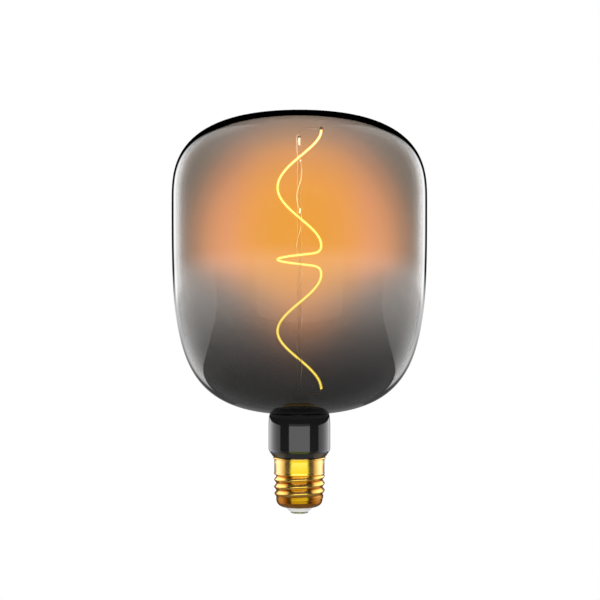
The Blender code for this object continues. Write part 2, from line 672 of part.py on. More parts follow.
def choke():
    """Drum core with its copper winding."""
    r = CHOKE_RADIUS
    top = CHOKE_LENGTH
    low = CHOKE_FLANGE
    high = top - CHOKE_FLANGE
    drum = CHOKE_DRUM_RADIUS
    core = [(0.0, 0.0), (r, 0.0), (r, low), (drum, low),
            (drum, high), (r, high), (r, top), (0.0, top)]
    centre = (r + FIT_GAP, BOARD_FRONT - LEG_GAP - r, BOARD_FOOT + LEG_GAP)
    turned("choke_core", core, finish("ferrite", (0.05, 0.05, 0.05), 0.6), location=centre)
    inner = drum + FIT_GAP
    outer = r * 0.88
    low += FIT_GAP
    high -= FIT_GAP
    coil = [(inner, low), (outer, low), (outer, high), (inner, high)]
    copper = finish("copper_winding", (0.72, 0.35, 0.16), 0.35, 1.0)
    turned("choke_winding", coil, copper, location=centre)


def wireless_module():
    """Radio module on the board's front: its own board, a shield can and the printed aerial."""
    thickness, height = MODULE_SIZE[1:]
    middle = MODULE_FOOT + height / 2
    block("wireless_module_board", MODULE_SIZE, (0, MODULE_BACK - thickness / 2, middle),
          finish("blue_board", (0.02, 0.06, 0.16), 0.4), CHIP_EDGE)
    shield_middle = MODULE_FOOT + ANTENNA_LINE + SHIELD_SIZE[2] / 2
    front = MODULE_FRONT - FIT_GAP
    block("module_shield", SHIELD_SIZE, (0, front - SHIELD_SIZE[1] / 2, shield_middle),
          finish("tinned_shield", (0.72, 0.72, 0.70), 0.25, 1.0), CAN_EDGE)
    antenna_trace(front, MODULE_FOOT + height - ANTENNA_LINE)


def antenna_trace(front, top):
    """Meandering copper line near the module's top edge."""
    line = []
    half_span = ANTENNA_STEP * ANTENNA_TEETH
    for i in range(2 * ANTENNA_TEETH + 1):
        x = -half_span + i * ANTENNA_STEP
        ends = (top - ANTENNA_HEIGHT, top) if i % 2 == 0 else (top, top - ANTENNA_HEIGHT)
        line += [Vector((x, ends[0])), Vector((x, ends[1]))]
    shape = bmesh.new()
    half = ANTENNA_LINE / 2
    left, right = [], []
    for i, here in enumerate(line):
        into = (here - line[i - 1]).normalized() if i else (line[1] - line[0]).normalized()
        out = (line[i + 1] - here).normalized() if i < len(line) - 1 else into
        side = Vector((-into.y - out.y, into.x + out.x)) / (1 + into.dot(out)) * half
        left.append(here + side)
        right.append(here - side)
    corners = [shape.verts.new((p.x, front, p.y)) for p in left + right[::-1]]
    count = len(line)
    strip = [shape.faces.new((corners[i], corners[i + 1], corners[-i - 2], corners[-i - 1]))
             for i in range(count - 1)]
    grown = bmesh.ops.extrude_face_region(shape, geom=strip)
    moved = [item for item in grown["geom"] if isinstance(item, bmesh.types.BMVert)]
    bmesh.ops.translate(shape, verts=moved, vec=(0, -ANTENNA_THICKNESS, 0))
    solid("antenna_trace", shape, finish("gold_trace", (0.80, 0.55, 0.20), 0.3, 1.0))


def transformer():
    """Ferrite frame with a wound bobbin through it, on the board's back."""
    width, depth, height = TRANSFORMER_SIZE
    middle_z = BOARD_TOP - height / 2 - LEG_GAP
    near = BOARD_BACK + LEG_GAP + (WINDING_DEPTH - depth) / 2
    shape = bmesh.new()
    frames = []
    for y in (near, near + depth):
        for grow in (0.0, TRANSFORMER_LEG):
            x = width / 2 - grow
            z = height / 2 - grow
            frames.append([shape.verts.new((sx * x, y, middle_z + sz * z))
                           for sx, sz in ((-1, -1), (1, -1), (1, 1), (-1, 1))])
    near_out, near_in, far_out, far_in = frames
    for a, b in ((near_out, near_in), (near_in, far_in), (far_in, far_out), (far_out, near_out)):
        for i in range(4):
            j = (i + 1) % 4
            shape.faces.new((a[i], a[j], b[j], b[i]))
    solid("transformer_core", shape, finish("transformer_ferrite", (0.06, 0.06, 0.065), 0.55))
    frame = 2 * (TRANSFORMER_LEG + FIT_GAP)
    size = (width - frame, WINDING_DEPTH, height - frame)
    centre = (0, BOARD_BACK + LEG_GAP + WINDING_DEPTH / 2, middle_z)
    tape = finish("yellow_tape", (0.85, 0.60, 0.08), 0.4)
    block("transformer_winding", size, centre, tape, TAPE_EDGE)


def film_capacitor():
    """Mains filter capacitor on the board's back."""
    width, depth, height = FILM_CAPACITOR_SIZE
    centre = (-width / 2 - FIT_GAP, BOARD_BACK + LEG_GAP + depth / 2,
              BOARD_FOOT + LEG_GAP + height / 2)
    yellow = finish("film_box", (0.75, 0.48, 0.06), 0.4)
    block("film_capacitor", FILM_CAPACITOR_SIZE, centre, yellow, CAN_EDGE)


def fuse_centre():
    """Where the fusible resistor's lower end stands."""
    return Vector((3 * FUSE_RADIUS, BOARD_BACK + LEG_GAP + FUSE_RADIUS, BOARD_FOOT + LEG_GAP))


def fusible_resistor():
    """Flameproof resistor that feeds the board from the live wire."""
    r = FUSE_RADIUS
    top = FUSE_LENGTH
    outline = [(0.0, 0.0), (r * 0.8, 0.0), (r, r * 0.3), (r, r * 0.9), (r * 0.85, r * 1.2),
               (r * 0.85, top - r * 1.2), (r, top - r * 0.9), (r, top - r * 0.3), (r * 0.8, top),
               (0.0, top)]
    turned("fusible_resistor", outline, finish("green_resistor", (0.10, 0.35, 0.22), 0.5), 16,
           tuple(fuse_centre()))


def back_chips():
    """Switch, rectifier, regulator and driver chip on the board's back."""
    epoxy = finish("black_epoxy", (0.02, 0.02, 0.02), 0.5)
    row = BOARD_FOOT + LEG_GAP + FILM_CAPACITOR_SIZE[2] + LEG_GAP
    chips = (
        ("output_switch", SMALL_CHIP_SIZE, SMALL_CHIP_X, CHIP_ROWS[0]),
        ("bridge_rectifier", RECTIFIER_SIZE, RECTIFIER_X, CHIP_ROWS[1]),
        ("supply_regulator", SMALL_CHIP_SIZE, SMALL_CHIP_X, CHIP_ROWS[2]),
        ("driver_chip", DRIVER_CHIP_SIZE, DRIVER_CHIP_X, CHIP_ROWS[3]),
    )
    for name, size, x, rise in chips:
        block(name, size, (x, BOARD_BACK + FIT_GAP + size[1] / 2, row + rise), epoxy, CHIP_EDGE)


def small_parts():
    """Chip resistors and capacitors in two columns beside the radio module."""
    size = SMALL_PART_SIZE
    kinds = (("sense_resistor_", -1, finish("chip_resistor", (0.03, 0.03, 0.03), 0.4)),
             ("ceramic_capacitor_", 1, finish("chip_capacitor", (0.55, 0.42, 0.28), 0.5)))
    column = MODULE_SIZE[0] / 2 - size[0] / 2
    for word, side, material in kinds:
        for i in range(3):
            height = MODULE_FOOT + SMALL_PART_PITCH * (i + 1)
            centre = (side * column, BOARD_BACK + FIT_GAP + size[1] / 2, height)
            block(word + str(i + 1), size, centre, material, CHIP_EDGE)


def cap_wires():
    """Insulated leads from the contact pin and from the shell up to the board."""
    gap = WIRE_RADIUS + FIT_GAP
    fuse = fuse_centre()
    start = Vector((0, 0, CONTACT_PIN_TOP + FIT_GAP))
    live = [start,
            start + Vector((1.0, 1.5, 1.75)) * WIRE_BEND,
            Vector((fuse.x * 0.5, fuse.y * 0.55, BOARD_FOOT - gap - WIRE_BEND / 2)),
            Vector((fuse.x * 0.95, fuse.y * 0.95, BOARD_FOOT - gap)),
            fuse - Vector((0, 0, FIT_GAP))]
    red = finish("red_wire", (0.45, 0.03, 0.02), 0.45)
    wire("live_wire", smooth_path(live, 3), WIRE_RADIUS, red, 1)
    wall = SHELL_ROOT_BORE - gap
    foot = BOARD_FOOT - gap - WIRE_BEND
    neutral = [(-wall, 0, BOARD_FOOT + NEUTRAL_JOINT),
               (-wall, -2 * WIRE_BEND, BOARD_FOOT + NEUTRAL_JOINT / 3),
               (-wall * 0.93, -2 * WIRE_BEND, BOARD_FOOT - WIRE_BEND / 2),
               (-wall * 0.72, WIRE_BEND, foot),
               (-wall * 0.60, BOARD_MIDDLE_Y, foot + WIRE_BEND)]
    black = finish("black_wire", (0.02, 0.02, 0.02), 0.45)
    wire("neutral_wire", smooth_path(neutral, 3), WIRE_RADIUS, black, 1)


def build():
    """Make every piece, from the cap up and then the parts inside."""
    clear_scene()
    centre_contact()
    shell_insulator()
    screw_shell()
    collar()
    neck_cement()
    glass_envelope()
    stem_flare()
    exhaust_tube()
    stem_leads()
    lead_sleeves()
    support_rod()
    rod_tip()
    return_wire()
    top_hook_wire()
    filament()
    filament_tab("filament_tab_top", 0, 1)
    filament_tab("filament_tab_bottom", -COIL_TURNS, -1)
    driver_board()
    electrolytic_capacitor()
    choke()
    wireless_module()
    transformer()
    film_capacitor()
    fusible_resistor()
    back_chips()
    small_parts()
    cap_wires()


build()
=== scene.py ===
"""Looks of a smart light bulb: a large smoke-coated globe with a spiral LED filament, a gloss
black collar and a gold screw cap.

The pieces come in the order in which the bulb is put together: the cap with the driver and the
wireless module inside it, the collar, the stem with its leads and rod, the filament and its wires,
the globe that closes it, and the cement under the globe. The stage comes last.
All sizes are in metres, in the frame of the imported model: +Z up the axis, the contact at zero.
"""
import math

import bpy
import numpy as np
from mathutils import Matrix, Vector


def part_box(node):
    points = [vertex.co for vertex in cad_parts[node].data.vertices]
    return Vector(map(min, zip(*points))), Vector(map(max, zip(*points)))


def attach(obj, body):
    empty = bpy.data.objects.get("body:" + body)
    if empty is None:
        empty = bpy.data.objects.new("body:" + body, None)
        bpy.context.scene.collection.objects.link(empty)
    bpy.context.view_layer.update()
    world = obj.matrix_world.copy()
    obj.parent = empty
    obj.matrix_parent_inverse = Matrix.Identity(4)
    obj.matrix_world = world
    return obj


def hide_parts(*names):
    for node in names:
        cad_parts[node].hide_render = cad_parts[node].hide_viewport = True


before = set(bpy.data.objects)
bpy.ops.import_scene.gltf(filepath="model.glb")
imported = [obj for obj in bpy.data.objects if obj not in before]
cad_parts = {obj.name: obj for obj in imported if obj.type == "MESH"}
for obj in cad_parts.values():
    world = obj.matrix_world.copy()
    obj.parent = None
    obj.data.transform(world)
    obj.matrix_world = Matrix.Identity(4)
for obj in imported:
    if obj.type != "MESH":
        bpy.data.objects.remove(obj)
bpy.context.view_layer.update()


# ------------------------------------------------------------------ centre contact
# A button of tinned brass, pressed through the insulator, that meets the lampholder's spring.
# A worn ring of rubbed metal and a low solder dome on it come from that spring and from the
# live wire's joint.

def skin(name, rows, joined=False):
    """Closed mesh over rows of points. A row is a ring; an end row at one point is a pole.

    Row by row the rings are joined with quads, a pole with triangles, and joined rows run on
    from the last ring to the first.
    """
    rows = np.asarray(rows, dtype=float)
    count, around = rows.shape[:2]
    index = np.arange(count * around).reshape(count, around)
    for end in (0, -1):
        if not joined and np.ptp(rows[end], axis=0).max() < 1e-9:
            index[end] = index[end, 0]
    upper = np.roll(index, -1, axis=0) if joined else index[1:]
    lower = index if joined else index[:-1]
    quads = np.stack([lower, np.roll(lower, -1, 1), np.roll(upper, -1, 1), upper], axis=-1)
    faces = []
    for quad in quads.reshape(-1, 4).tolist():
        faces.append([corner for i, corner in enumerate(quad) if corner != quad[i - 1]])
    used = np.unique(np.concatenate(faces))
    place = np.full(count * around, -1)
    place[used] = np.arange(len(used))
    mesh = bpy.data.meshes.new(name)
    mesh.from_pydata(rows.reshape(-1, 3)[used].tolist(), [], [place[face].tolist() for face in faces])
    mesh.shade_smooth()
    mesh.set_sharp_from_angle(angle=math.radians(50))
    piece = bpy.data.objects.new(name, mesh)
    bpy.context.scene.collection.objects.link(piece)
    return piece


def turned(profile, segments, centre=(0.0, 0.0)):
    """Rings of a turned shape: x = radius cos t, y = radius sin t at each height of the profile.

    The profile runs anticlockwise round the solid: up its outside and down its bore.
    """
    turn = np.linspace(0.0, math.tau, segments, endpoint=False)
    radius, height = np.asarray(profile, dtype=float).T
    x = centre[0] + radius[:, None] * np.cos(turn)
    y = centre[1] + radius[:, None] * np.sin(turn)
    return np.stack([x, y, np.broadcast_to(height[:, None], x.shape)], axis=-1)


def eased(corners, ease, steps=4):
    """Outline with each corner rounded by a parabola that starts ease before it.

    An entry is (radius, height) or (radius, height, its own ease). A point on the axis stays.
    """
    corners = [tuple(corner) + (ease,) * (3 - len(corner)) for corner in corners]
    ring = corners[0][0] > 0 and corners[-1][0] > 0
    outline = []
    for i, (radius, height, size) in enumerate(corners):
        here = np.array([radius, height])
        if (not ring and i in (0, len(corners) - 1)) or size == 0:
            outline.append(here)
            continue
        before = np.array(corners[i - 1][:2]) - here
        after = np.array(corners[(i + 1) % len(corners)][:2]) - here
        reach = min(size, np.linalg.norm(before) * 0.45, np.linalg.norm(after) * 0.45)
        a = here + before / np.linalg.norm(before) * reach
        b = here + after / np.linalg.norm(after) * reach
        for t in np.linspace(0, 1, steps + 1):
            outline.append((1 - t) ** 2 * a + 2 * t * (1 - t) * here + t * t * b)
    return np.array(outline)


def srgb(code):
    """Linear colour of an sRGB hex value."""
    parts = [int(code[i:i + 2], 16) / 255 for i in (0, 2, 4)]
    return tuple(((c + 0.055) / 1.055) ** 2.4 if c > 0.04045 else c / 12.92 for c in parts) + (1.0,)


def add_node(tree, kind, inputs=(), **settings):
    """Adds a node with its settings; each input is set to a value or linked to another's output."""
    node = tree.nodes.new("ShaderNode" + kind)
    for key, value in settings.items():
        setattr(node, key, value)
    for socket, value in dict(inputs).items():
        if isinstance(value, bpy.types.NodeSocket):
            tree.links.new(value, node.inputs[socket])
        else:
            node.inputs[socket].default_value = value
    return node


def new_finish(name, **constants):
    """A material with one Principled shader; constants are set on the shader's own sockets."""
    material = bpy.data.materials.new(name)
    material.use_nodes = True
    tree = material.node_tree
    shader = tree.nodes["Principled BSDF"]
    for key, value in constants.items():
        shader.inputs[key.replace("_", " ")].default_value = value
    return material, tree, shader


def noise(tree, place, scale, detail=2.0):
    """Value of a soft cloudy noise at this place."""
    return add_node(tree, "TexNoise", {"Vector": place, "Scale": scale, "Detail": detail}).outputs["Fac"]


def between(tree, value, low, high):
    """A value of 0 to 1 turned into one of low to high."""
    limits = {"Value": value, "To Min": low, "To Max": high}
    return add_node(tree, "MapRange", limits).outputs["Result"]


def relief(tree, shader, height, strength, distance):
    """Lifts the shader's surface by this height as a fine bump."""
    bump = add_node(tree, "Bump", {"Height": height, "Strength": strength, "Distance": distance})
    tree.links.new(bump.outputs["Normal"], shader.inputs["Normal"])


def graded(tree, value, stops, interpolation='LINEAR'):
    """Colour of a ramp over (position, colour) stops at this value; a bare number is a grey."""
    node = add_node(tree, "ValToRGB", {"Fac": value})
    ramp = node.color_ramp
    ramp.interpolation = interpolation
    while len(ramp.elements) > 1:
        ramp.elements.remove(ramp.elements[-1])
    for i, (position, colour) in enumerate(stops):
        element = ramp.elements[0] if i == 0 else ramp.elements.new(position)
        element.position = position
        element.color = (colour, colour, colour, 1.0) if isinstance(colour, float) else colour
    return node.outputs["Color"]


def fit_piece(piece, material, slot, *nodes):
    """Gives the piece its material, lets it ride on the bulb and stand for its CAD nodes."""
    piece.data.materials.append(material)
    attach(piece, "root")
    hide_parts(*nodes)
    return piece


contact_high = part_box("centre_contact")[1]
contact_radius = contact_high.x
contact_thickness = 0.00065
pin_radius = 0.0012
contact_outline = eased([
    (0.0, 0.0), (contact_radius * 0.86, 0.0, 0.0005), (contact_radius, 0.0003, 0.0003),
    (contact_radius, contact_thickness, 0.0001), (pin_radius, contact_thickness, 0.0001),
    (pin_radius, contact_high.z, 0.0002), (0.0, contact_high.z)], 0.0002)

# Tinned brass, stamped: a warm grey metal, duller where the tin has oxidised, with a rubbed ring.
tin, tree, shader = new_finish("tinned_brass", Metallic=1.0)
coords = add_node(tree, "TexCoord").outputs["Object"]
grain = noise(tree, coords, 1400.0, 4.0)
rub = add_node(tree, "TexWave", {"Vector": coords, "Scale": 330.0, "Distortion": 1.2,
                                 "Detail": 2.0}, wave_type="RINGS", rings_direction="Z")
tone = graded(tree, grain, [(0.30, srgb("CFCDC8")), (0.70, srgb("EDECE8"))])
dull = between(tree, rub.outputs["Fac"], 0.38, 0.55)
tree.links.new(tone, shader.inputs["Base Color"])
tree.links.new(dull, shader.inputs["Roughness"])
relief(tree, shader, grain, 0.25, 0.00004)

fit_piece(skin("contact_button", turned(contact_outline, 96)), tin, "tinned_contact", "centre_contact")


# ------------------------------------------------------------------ insulator
# A cone of pale vitreous insulation that fills the foot of the screw shell. It is moulded, so it
# has a soft edge at the contact and a faint satin skin.

insulator_low, insulator_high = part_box("shell_insulator")
shell_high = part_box("screw_shell")[1]
waist = 0.0070
insulator_outline = eased([
    (0.0050, insulator_low.z, 0.0007), (waist, 0.0032, 0.0003), (waist, 0.00415, 0.0002),
    (0.0083, 0.0045, 0.0002), (insulator_high.x, 0.0054, 0.0004),
    (insulator_high.x, insulator_high.z, 0.0004), (0.0015, insulator_high.z, 0.0002),
    (0.0015, insulator_low.z, 0.0002)], 0.0003)

# Vitrite-like moulding, glazed: pale grey-white with soft cloudiness a few millimetres wide.
vitrite, tree, shader = new_finish("pale_moulded_insulator", Roughness=0.32, IOR=1.52,
                                   Subsurface_Weight=0.12, Subsurface_Scale=0.002)
coords = add_node(tree, "TexCoord").outputs["Object"]
cloud = noise(tree, coords, 380.0, 3.0)
tone = graded(tree, cloud, [(0.25, srgb("DADAD8")), (0.75, srgb("E8E8E6"))])
tree.links.new(tone, shader.inputs["Base Color"])
pits = noise(tree, coords, 2600.0)
relief(tree, shader, pits, 0.12, 0.00003)

fit_piece(skin("insulator_cone", turned(insulator_outline, 96), joined=True), vitrite,
          "white_insulator", "shell_insulator")


# ------------------------------------------------------------------ screw shell
# Thin brass, drawn into a cup, rolled to a right-hand thread and plated bright gold. Its foot is
# bent in over the insulator, and its mouth ends in a small flared bead under the collar.

thread_crest = 0.01305
thread_depth = 0.00118
thread_pitch = 0.003629
crest_height_at_x = 0.0082
shell_wall = 0.00035
thread_foot = 0.0070
thread_top = 0.0205
lip_radius = shell_high.x


def thread_shape(phase):
    """Depth below the crest, 0 to 1: a triangle wave with its points rounded off."""
    wave = np.arcsin(0.97 * np.cos(phase)) / math.asin(0.97)
    return 0.5 - 0.5 * wave


def shell_radius(turn, height):
    """Outer radius: the thread fades in above the foot, and out into the plain skirt."""
    phase = math.tau * (height - crest_height_at_x) / thread_pitch - turn
    fade_in = np.clip((height - thread_foot) / thread_pitch, 0, 1)
    fade_out = np.clip((thread_top - height) / (thread_pitch * 0.3), 0, 1)
    fade_out = fade_out * fade_out * (3 - 2 * fade_out)
    core = thread_crest - thread_depth * (1 - fade_in)
    return core - thread_depth * thread_shape(phase) * fade_in * fade_out


def shell_rings(segments=180):
    """Rings of the shell's outside from its inner foot edge up to the lip, then its inside down."""
    turn = np.linspace(0.0, math.tau, segments, endpoint=False)
    foot_radius = 0.0073
    bend = 0.0038
    core = thread_crest - thread_depth

    def ring(radius, height):
        radius = np.broadcast_to(radius, turn.shape)
        return np.stack([radius * np.cos(turn), radius * np.sin(turn),
                         np.full(segments, height)], axis=-1)

    rows = []
    for t in np.linspace(math.pi / 2, 0, 14)[:-1]:
        rows.append(ring(foot_radius + (core - foot_radius) * math.cos(t),
                         thread_foot - bend * math.sin(t)))
    outer_heights = np.linspace(thread_foot, thread_top, 108)
    for height in outer_heights:
        rows.append(ring(shell_radius(turn, height), height))
    skirt = [(thread_crest - 0.00012, 0.0209), (thread_crest - 0.00016, 0.0215),
             (thread_crest - 0.00016, 0.0268), (thread_crest - 0.00010, 0.0276)]
    for radius, height in skirt:
        rows.append(ring(radius, height))
    bead = 0.00042
    for t in np.linspace(-math.pi / 2, math.pi / 2, 9):
        rows.append(ring(lip_radius - bead + bead * math.cos(t),
                         shell_high.z - bead + bead * math.sin(t)))
    mouth = thread_crest - shell_wall
    rows.append(ring(mouth, shell_high.z))
    rows.append(ring(mouth, thread_top + 0.0010))
    for height in outer_heights[::-3]:
        rows.append(ring(shell_radius(turn, height) - shell_wall, height))
    for t in np.linspace(0, math.pi / 2, 8)[1:]:
        rows.append(ring(foot_radius + (core - shell_wall - foot_radius) * math.cos(t),
                         thread_foot - (bend - shell_wall) * math.sin(t)))
    return np.array(rows)


# Gold-plated brass, rolled: a bright yellow mirror with fine drawing lines round the skirt, and darker
# and browner in the thread's roots.
gold, tree, shader = new_finish("gold_plated_brass", Metallic=1.0)
coords = add_node(tree, "TexCoord").outputs["Object"]
across = add_node(tree, "VectorMath", {0: coords, 1: (1.0, 1.0, 0.0)}, operation="MULTIPLY")
radius_here = add_node(tree, "VectorMath", {0: across.outputs["Vector"]}, operation="LENGTH")
depth_in = add_node(tree, "MapRange", {"Value": radius_here.outputs["Value"],
                                       "From Min": thread_crest - thread_depth,
                                       "From Max": thread_crest - 0.0002})
blotch = noise(tree, coords, 260.0, 5.0)
mixed = add_node(tree, "Math", {0: depth_in.outputs["Result"], 1: 0.8}, operation="MULTIPLY")
mixed = add_node(tree, "Math", {0: blotch, 1: 0.3, 2: mixed.outputs["Value"]}, operation="MULTIPLY_ADD")
tone = graded(tree, mixed.outputs["Value"], [
    (0.10, srgb("BC7A30")), (0.55, srgb("EAB054")), (0.95, srgb("F6C66A"))])
tree.links.new(tone, shader.inputs["Base Color"])
lines = add_node(tree, "TexWave", {"Vector": coords, "Scale": 1900.0, "Distortion": 0.6,
                                   "Detail": 1.0}, wave_type="BANDS", bands_direction="Z")
rough = between(tree, blotch, 0.15, 0.25)
tree.links.new(rough, shader.inputs["Roughness"])
relief(tree, shader, lines.outputs["Fac"], 0.06, 0.00002)

fit_piece(skin("threaded_shell", shell_rings(), joined=True), gold, "gold_brass", "screw_shell")


# ------------------------------------------------------------------ driver
# A glass-epoxy board stands in the cap with the mains parts soldered to it by machine and hand: a
# rectifier, a switching chip, its coil and transformer, and two supply wires to shell and contact.

def math_node(tree, operation, *values):
    """Output of a Math node over these values or sockets."""
    return add_node(tree, "Math", dict(enumerate(values)), operation=operation).outputs["Value"]


def cover(material, *nodes):
    """Puts the material on these parts, which keep the shape they have."""
    for name in nodes:
        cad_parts[name].data.materials[0] = material


def mottled(name, scale, dark, pale, rough, grain=0.0, spread=(0.32, 0.68), detail=3.0,
            **constants):
    """A finish whose colour and gloss wander between two values; grain lifts it as fine relief."""
    material, tree, shader = new_finish(name, **constants)
    coords = add_node(tree, "TexCoord").outputs["Object"]
    cloud = noise(tree, coords, scale, detail)
    tone = graded(tree, cloud, [(spread[0], srgb(dark)), (spread[1], srgb(pale))])
    gloss = between(tree, cloud, rough[0], rough[1])
    if grain:
        relief(tree, shader, cloud, grain, 0.00005)
    tree.links.new(tone, shader.inputs["Base Color"])
    tree.links.new(gloss, shader.inputs["Roughness"])
    return material, tree, shader


def solder_mask(name, scale, width, first, second, track, lift=0.0, **constants):
    """Lacquer over copper: a stepped net of paler tracks, which may stand up through it."""
    material, tree, shader = new_finish(name, **constants)
    coords = add_node(tree, "TexCoord").outputs["Object"]
    flat = add_node(tree, "Mapping", {"Vector": coords, "Rotation": (math.pi / 2, 0, 0)})
    tracks = add_node(tree, "TexBrick", {
        "Vector": flat.outputs["Vector"], "Scale": scale, "Mortar Size": width,
        "Color1": srgb(first), "Color2": srgb(second), "Mortar": srgb(track)})
    tree.links.new(tracks.outputs["Color"], shader.inputs["Base Color"])
    if lift:
        relief(tree, shader, tracks.outputs["Fac"], lift, 0.00004)
    return material


# Green solder mask over copper: paler tracks in a stepped net, 4 mm apart.
cover(solder_mask("green_solder_mask", 250.0, 0.06, "0E4A2C", "11532F", "2F7D4C", 0.4,
                  Coat_Weight=0.5, Coat_Roughness=0.2, Roughness=0.38), "driver_board")

# Sintered ferrite: charcoal, half dull, finely pitted.
cover(mottled("sintered_ferrite", 1600.0, "26262A", "3C3B3E", (0.42, 0.62), 0.5)[0],
      "choke_core", "transformer_core")

# Enamelled magnet wire, wound in even layers 0.4 mm apart: red copper under varnish.
magnet_wire, tree, shader = new_finish("wound_magnet_wire", Metallic=1.0, Coat_Weight=0.8,
                                       Coat_Roughness=0.12)
coords = add_node(tree, "TexCoord").outputs["Object"]
layer = add_node(tree, "TexWave", {"Vector": coords, "Scale": math.tau / 0.0004 / 20},
                 wave_type="BANDS", bands_direction="Z")
tone = graded(tree, layer.outputs["Fac"], [
    (0.0, srgb("6A3216")), (0.6, srgb("C2703C")), (1.0, srgb("D88A54"))])
tree.links.new(tone, shader.inputs["Base Color"])
relief(tree, shader, layer.outputs["Fac"], 0.9, 0.00012)
shader.inputs["Roughness"].default_value = 0.3
cover(magnet_wire, "choke_winding")

# Polyester tape, lapped round the transformer: clear yellow, glossy, with a fine lap line.
tape, tree, shader = mottled("polyester_tape", 500.0, "D9A520", "F0C23A", (0.18, 0.3), Coat_Weight=0.4)
coords = add_node(tree, "TexCoord").outputs["Object"]
lap = add_node(tree, "TexWave", {"Vector": coords, "Scale": 30.0, "Distortion": 0.3},
               wave_type="BANDS", bands_direction="Z", wave_profile="SAW")
relief(tree, shader, lap.outputs["Fac"], 0.6, 0.0001)
cover(tape, "transformer_winding")

# Cast epoxy case of the film capacitor: mustard yellow, softly clouded, almost glossy.
cover(mottled("cast_yellow_epoxy", 260.0, "CF9A1C", "E2B134", (0.24, 0.36), 0.1)[0], "film_capacitor")

# Shrunk PVC sleeve: blue-black, with a pale polarity stripe up one side.
can_low, can_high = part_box("electrolytic_capacitor")
sleeve, tree, shader = new_finish("shrunk_pvc_sleeve", Roughness=0.28)
coords = add_node(tree, "TexCoord").outputs["Object"]
middle = ((can_low + can_high) / 2)[:]
around = add_node(tree, "VectorMath", {0: coords, 1: middle}, operation="SUBTRACT")
parts = add_node(tree, "SeparateXYZ", {"Vector": around.outputs["Vector"]})
turn = math_node(
    tree, "ARCTAN2", parts.outputs["X"], math_node(tree, "MULTIPLY", parts.outputs["Y"], -1.0))
turn = math_node(tree, "ABSOLUTE", turn)
stripe = graded(tree, turn, [(0.0, srgb("C9CED6")), (0.36, srgb("151B30"))], 'CONSTANT')
tree.links.new(stripe, shader.inputs["Base Color"])
wrinkle = noise(tree, coords, 300.0)
relief(tree, shader, wrinkle, 0.15, 0.0002)
cover(sleeve, "electrolytic_capacitor")

# Flame-proof lacquer on the fusible resistor: grey-green, with three colour rings.
fuse_low, fuse_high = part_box("fusible_resistor")
lacquer, tree, shader = new_finish("flame_proof_lacquer", Roughness=0.42)
coords = add_node(tree, "TexCoord").outputs["Object"]
height = add_node(tree, "SeparateXYZ", {"Vector": coords})
share = add_node(tree, "MapRange", {"Value": height.outputs["Z"], "From Min": fuse_low.z,
                                    "From Max": fuse_high.z})
rings = graded(tree, share.outputs["Result"], [
    (0.0, srgb("8FA39A")), (0.22, srgb("5A2F16")), (0.32, srgb("8FA39A")), (0.42, srgb("1A1A1A")),
    (0.52, srgb("8FA39A")), (0.62, srgb("B08D2C")), (0.72, srgb("8FA39A"))], 'CONSTANT')
tree.links.new(rings, shader.inputs["Base Color"])
cover(lacquer, "fusible_resistor")

# Moulded black epoxy: matt, fine-grained, as it leaves the mould.
cover(mottled("moulded_black_epoxy", 2400.0, "151515", "242424", (0.5, 0.66), 0.3)[0],
      "bridge_rectifier", "driver_chip", "output_switch", "supply_regulator")


chip_pitch = 0.003
chip_length = 0.002


def chip_finish(name, body):
    """Small chip parts in a row up the board: a body between two tinned ends."""
    material, tree, shader = new_finish(name, Roughness=0.35)
    coords = add_node(tree, "TexCoord").outputs["Object"]
    height = add_node(tree, "SeparateXYZ", {"Vector": coords})
    above_first = math_node(tree, "SUBTRACT", height.outputs["Z"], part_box("sense_resistor_1")[0].z)
    place = math_node(tree, "MODULO", above_first, chip_pitch)
    share = math_node(tree, "DIVIDE", place, chip_length)
    ends = graded(tree, share, [
        (0.0, srgb("C8C8C4")), (0.2, srgb(body)), (0.8, srgb("C8C8C4"))], 'CONSTANT')
    metal = graded(tree, share, [(0.0, 1.0), (0.2, 0.0), (0.8, 1.0)], 'CONSTANT')
    tree.links.new(ends, shader.inputs["Base Color"])
    tree.links.new(metal, shader.inputs["Metallic"])
    return material


# Thick-film resistors are black glass on top, and ceramic capacitors a fired tan.
cover(chip_finish("thick_film_chip", "1C1C1E"), "sense_resistor_1", "sense_resistor_2",
      "sense_resistor_3")
cover(chip_finish("fired_ceramic_chip", "A8825A"), "ceramic_capacitor_1", "ceramic_capacitor_2",
      "ceramic_capacitor_3")

# Silicone rubber on the live wire and PVC on the neutral wire: plain, softly shining skins.
cover(mottled("red_silicone_rubber", 700.0, "9C1712", "B8241C", (0.40, 0.55), 0.15)[0], "live_wire")
cover(mottled("black_pvc_skin", 700.0, "121212", "1E1E1E", (0.30, 0.42), 0.15)[0], "neutral_wire")


# ------------------------------------------------------------------ wireless module
# A small dark board soldered upright beside the driver: a stamped can shields its chip, and its
# antenna is a gold-plated track that folds across the top edge.

# Dark blue solder mask: glossy, with faint tracks a millimetre apart beneath.
cover(solder_mask("blue_solder_mask", 600.0, 0.05, "0C1730", "0E1B38", "24406E",
                  Coat_Weight=0.6, Coat_Roughness=0.12, Roughness=0.34), "wireless_module_board")

# Tinned steel can, stamped: cool silver, with soft rolling streaks.
cover(mottled("tinned_steel_can", 420.0, "AEB0B0", "D6D7D5", (0.22, 0.36), 0.1, Metallic=1.0)[0],
      "module_shield")

# Gold over nickel: the plated antenna, bright and slightly grained.
cover(mottled("immersion_gold", 1800.0, "D8A748", "F2CB74", (0.2, 0.34), 0.2, Metallic=1.0)[0],
      "antenna_trace")


# ------------------------------------------------------------------ collar
# One moulding in gloss black plastic that joins the cap to the globe. Its spigot plugs into the
# screw shell, and its upper edge is eased in under the glass.

